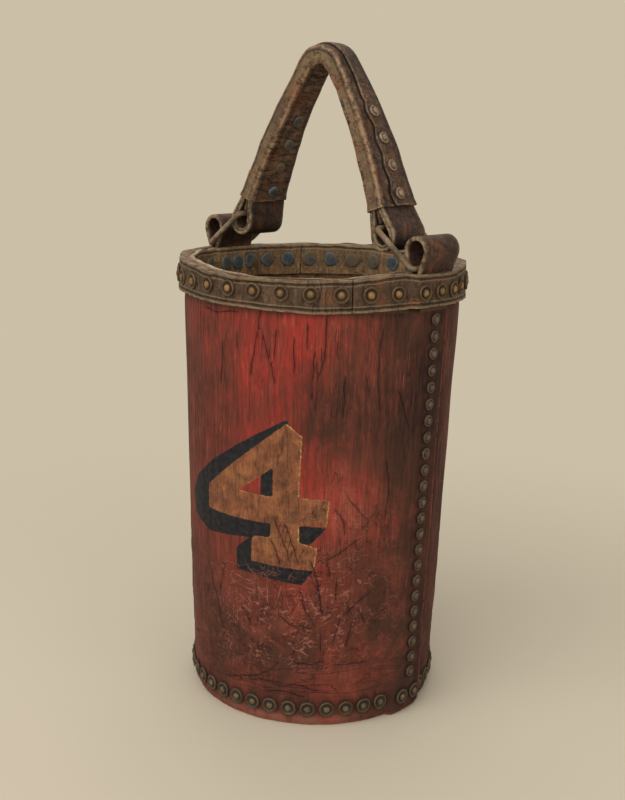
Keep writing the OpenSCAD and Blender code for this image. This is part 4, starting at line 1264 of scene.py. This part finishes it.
def build_sleeve():
    stations = sleeve_stations()
    rings, looks = (list(found) for found in zip(*(sleeve_ring(*station) for station in stations)))
    runs = [0.0]
    for (x, z, *_), (next_x, next_z, *_) in zip(stations, stations[1:]):
        runs.append(runs[-1] + math.hypot(next_x - x, next_z - z))
    count = len(rings[0])
    inside, cut_edge = np.zeros((count, 4)), np.tile([0.7, 0, 0, 0], (count, 1))
    low = [sleeve_lining(rings[0], *stations[0][:3], depth) for depth in (LINING_DEPTH, 0.0)]
    high = [sleeve_lining(rings[-1], *stations[-1][:3], depth) for depth in (0.0, -LINING_DEPTH)]
    verts = np.array(low + rings + high)
    looks = np.array([inside, cut_edge] + looks + [cut_edge, inside])
    runs = np.array([0.0, 0.0] + runs + [runs[-1], runs[-1]])
    fields = {name: looks[..., k] for k, name in enumerate(("wear", "side", "edge_shade", "pleated"))}
    fields.update({"along": np.tile(runs[:, None], (1, count)), "across": verts[..., 1]})
    faces = loft_faces(len(verts), count)
    thing = new_object("handle_sleeve_leather", verts, faces, [SLEEVE], fields, sharp=55)
    finish_piece(thing, "handle", "handle_sleeve")


def build_ring(side, word):
    """Round wire bent to a rounded oblong, worn and pitted."""
    tab_end = np.array([WALL_MID_R, TAB_BAR_Z])
    handle_end = np.array([HANDLE_BAR_X, HANDLE_BAR_Z])
    middle = (tab_end + handle_end) / 2
    span = float(np.linalg.norm(handle_end - tab_end))
    along = (handle_end - tab_end) / span
    loop = oblong(RING_HALF_W, span / 2, RING_CORNER, 9, 26)
    path = []
    for a, b in zip(loop, np.roll(loop, -1, axis=0)):
        pieces = max(1, int(np.linalg.norm(b - a) / WIRE_STEP))
        path += [a + (b - a) * t / pieces for t in range(pieces)]
    path = np.array(path)
    d = np.roll(path, -1, axis=0) - np.roll(path, 1, axis=0)
    d /= np.linalg.norm(d, axis=1, keepdims=True)
    circle = np.radians(np.arange(0, 360, 20))
    y = path[:, :1] + WIRE_R * np.cos(circle) * d[:, 1:]
    u = path[:, 1:] - WIRE_R * np.cos(circle) * d[:, :1]
    v = WIRE_R * np.sin(circle)
    skin = at(side * (middle[0] + u * along[0] - v * along[1]), y, middle[1] + u * along[1] + v * along[0])
    centre = at(side * (middle[0] + path[:, 1:] * along[0]), path[:, :1], middle[1] + path[:, 1:] * along[1])
    worn = 1 + 0.035 * wander(skin, 0.004, 60 + side) + 0.03 * wander(skin, 0.011, 62 + side) - 0.03
    verts = centre + (skin - centre) * worn[..., None]
    wear = 0.35 + 0.4 * wander(verts, 0.008, 64)
    faces = loft_faces(*wear.shape, closed=True)
    thing = new_object("wire_ring_" + word, verts, faces, [IRON], {"wear": wear})
    finish_piece(thing, "ring_" + word, "ring_" + word)


# Rivets and washers
POLE_R = 0.00003
STRIKE_LEAN = 0.018
RIVET_LUMPS, WASHER_LUMPS = 0.02, 0.012
LEAST_SIZE = 0.975
RIVET_WEAR = (0.5, 0.6, 0.9, 1.0, 0.5, 0.2, 0.0, 0.0, 0.0, 0.1, 0.45, 0.85, 1.0, 0.95, 0.9)
WASHER_WEAR = (0.0, 0.0, 0.25, 0.6, 0.85, 1.0, 0.95, 0.55, 0.15, 0.0, 0.0)
UNDER_RINGS = 7             # points of a rivet's outline that belong to its head under the leather


def rivet_profile(grip, head_r, sink):
    """A rivet's outline from the middle of its head, under the leather, to the top of its dome."""
    low = -grip - sink
    under = [(POLE_R, low - HEAD_T), (head_r * 0.6, low - HEAD_T), (head_r * 0.86, low - HEAD_T * 0.9),
             (head_r * 0.97, low - HEAD_T * 0.6), (head_r, low - HEAD_T * 0.3), (head_r, low), (SHANK_R, low)]
    dome = [(SHANK_R, 0.0010), (SHANK_R + 0.0008, 0.0010), (SHANK_R + 0.0009, 0.0013),
            (SHANK_R + 0.0006, 0.0018), (SHANK_R * 0.95, 0.0023), (SHANK_R * 0.55, 0.00262),
            (SHANK_R * 0.25, 0.0027), (POLE_R, 0.00272)]
    return np.array(under + dome)


def washer_profile(radius):
    return np.array([
        (SHANK_R + 0.0002, 0.0), (radius - 0.0006, 0.0), (radius - 0.0001, 0.0003), (radius, 0.0008),
        (radius - 0.0002, 0.0014), (radius - 0.0006, 0.0018), (radius - 0.0011, 0.00185),
        (radius - 0.0016, 0.0015), (radius - 0.0021, 0.0011), (SHANK_R + 0.0012, 0.0009),
        (SHANK_R + 0.0002, 0.0009)])


def struck(spots, profile, wear, rng, lumpy):
    """A turned shape at each spot, as points and wear, each one struck a little differently."""
    turns = np.radians(np.arange(SEGMENTS) * 360 / SEGMENTS)
    parts = []
    for origin, out, level in spots:
        other = np.cross(out, level)
        spin = rng.uniform(0, 2 * math.pi)
        lean = rng.normal(0, STRIKE_LEAN, 2)
        lumps = rng.normal(0, lumpy, (3, 2))
        uneven = 1 + sum(lumps[k, 0] * np.cos((k + 2) * turns + lumps[k, 1] * 90) for k in range(3))
        size = rng.uniform(LEAST_SIZE, 1.0)
        r = profile[:, :1] * uneven * size
        h = profile[:, 1:] + r * (lean[0] * np.cos(turns) + lean[1] * np.sin(turns))
        across, over = (r * np.cos(turns + spin))[..., None], (r * np.sin(turns + spin))[..., None]
        points = origin + across * level + over * other + h[..., None] * out
        parts.append((points, np.tile(np.array(wear)[:, None], (1, SEGMENTS))))
    return parts


def fasten(place, end, body, radius, rows, rivet_seed, washer_seed):
    """The rivets and the washers of one place. rows are (spots, grip, sink).

    The grip is what a rivet holds together, and the sink is how far its head stands off a hollow face.
    """
    rng = np.random.default_rng(rivet_seed)
    parts = []
    for spots, grip, sink in rows:
        parts += struck(spots, rivet_profile(grip, radius, sink), RIVET_WEAR, rng, RIVET_LUMPS)
    verts, faces, fields = joined(parts)
    copper, brass = METALS[place + "_copper"], METALS[place + "_brass"]
    rivets = new_object(f"{place}_rivet_row{end}", verts, faces, [copper, HEAD_GREY], fields)
    rivet_size = len(RIVET_WEAR) * SEGMENTS
    heads = [int(min(face) % rivet_size < (UNDER_RINGS - 1) * SEGMENTS) for face in faces]
    rivets.data.polygons.foreach_set("material_index", heads)
    finish_piece(rivets, body, f"{place}_rivets{end}")
    rng = np.random.default_rng(washer_seed)
    spots = [spot for row in rows for spot in row[0]]
    parts = struck(spots, washer_profile(radius), WASHER_WEAR, rng, WASHER_LUMPS)
    verts, faces, fields = joined(parts, closed=True)
    washers = new_object(f"{place}_washer_row{end}", verts, faces, [brass], fields)
    finish_piece(washers, body, f"{place}_washers{end}")


def build_fasteners():
    """All the rivets and washers. The heads lie on the hollow inner faces, which their flat rims span."""
    seam_sink = sagitta(float(wall_r(SEAM_LOW)) - WALL_T, SMALL_R)
    base_sink = sagitta(BASE_R - BASE_GRIP, BIG_R)
    fasten("seam", "", "bucket", SMALL_R, [(SEAM_ROW, SEAM_GRIP, seam_sink)], 1, 2)
    fasten("base", "", "bucket", BIG_R, [(BASE_ROW, BASE_GRIP, base_sink),
                                         (LAP_ROW, BASE_GRIP + PLY_STEP, base_sink)], 3, 4)
    fasten("rim", "", "bucket", BIG_R, [(RIM_ROW, RIM_GRIP, sagitta(RIM_HEAD_R, BIG_R)),
                                        (TAB_ROW, TAB_GRIP, sagitta(TAB_HEAD_R, BIG_R))], 5, 6)
    for side, word in SIDES:
        spots = [leg_spot(side, LEG_FIRST + k * LEG_PITCH) for k in range(LEG_RIVETS)]
        fasten("handle", "_" + word, "handle", SMALL_R, [(spots, LEG_GRIP, 0.0)], 7 + side, 10 + side)


def background_rays(nodes):
    """1 for rays from the camera, off gloss or through glass, all of which see the plain background."""
    rays = nodes.node("ShaderNodeLightPath", {}).outputs
    seen = nodes.most(rays["Is Camera Ray"], rays["Is Glossy Ray"])
    return nodes.most(seen, rays["Is Transmission Ray"])


def build_floor():
    """Bare paper that takes the shadow, and turns into the plain background further away."""
    paint = Paint("paper_floor")
    away = paint.node("ShaderNodeVectorMath", {0: paint.space()}, operation="LENGTH").outputs["Value"]
    glow = paint.node("ShaderNodeEmission", {"Color": CREAM, "Strength": 1.0}).outputs[0]
    plain = paint.times(paint.remap(away, SHADOW_R, PLAIN_R), background_rays(paint))
    blend = paint.node("ShaderNodeMixShader", {0: plain, 1: paint.surface.outputs[0], 2: glow}).outputs[0]
    paint.feed(paint.tree.nodes["Material Output"].inputs["Surface"], blend)
    turns = np.radians(np.arange(0, 360, 6))
    disc = round_at(FLOOR_R, turns, -FLOOR_DROP)
    floor = new_object("floor", disc, [tuple(range(len(turns)))], [paint.finish(CREAM, 0.95)], outward=False)


def build_world():
    world = bpy.data.worlds.new("room")
    bpy.context.scene.world = world
    world.use_nodes = True
    nodes = Nodes(world.node_tree)
    light = nodes.tree.nodes["Background"]
    light.inputs["Color"].default_value = WORLD_LIGHT
    light.inputs["Strength"].default_value = WORLD_STRENGTH
    plain = nodes.node("ShaderNodeBackground", {"Color": CREAM})
    seen = background_rays(nodes)
    blend = nodes.node("ShaderNodeMixShader", {0: seen, 1: light.outputs[0], 2: plain.outputs[0]})
    nodes.feed(nodes.tree.nodes["World Output"].inputs["Surface"], blend.outputs[0])


def add_lamp(name, around, up, away, size, power):
    """Area lamp that looks at the middle of the bucket, placed round it from the camera's direction."""
    data = bpy.data.lights.new(name, "AREA")
    data.size = size
    data.energy = power
    lamp = bpy.data.objects.new(name, data)
    bpy.context.scene.collection.objects.link(lamp)
    a = CAMERA_AROUND + math.radians(around)
    e = math.radians(up)
    back = np.array([math.sin(a) * math.cos(e), -math.cos(a) * math.cos(e), math.sin(e)])
    side = np.cross([0, 0, 1], back)
    side /= np.linalg.norm(side)
    spot = np.array([0, 0, LAMP_TARGET_Z]) + back * away
    lamp.matrix_world = placed(side, np.cross(back, side), back, spot)


build_wall()
build_strip("rim_strip_outside", BAND_MID_R, BAND_T, BUTT_ANGLE, TAIL_STEP, BAND,
            "rim_band_outer", 70)
build_strip("rim_strip_inside", LINING_MID_R, LINING_T, BUTT_ANGLE + 180, -TAIL_STEP, LINING,
            "rim_band_inner", 80)
build_bottom()
for build in (build_tab, build_ring):
    for side, word in SIDES:
        build(side, word)
build_strap()
for side, word in SIDES:
    build_liner(side, word)
build_core()
build_sleeve()
build_fasteners()
build_floor()
build_world()
add_lamp("key", -38, 38, 1.9, 2.2, 29)
add_lamp("fill", 40, 20, 2.2, 1.8, 8.5)
add_lamp("back", 180, 45, 2.2, 1.8, 10)
make_camera()
bpy.context.scene.view_settings.view_transform = "Standard"
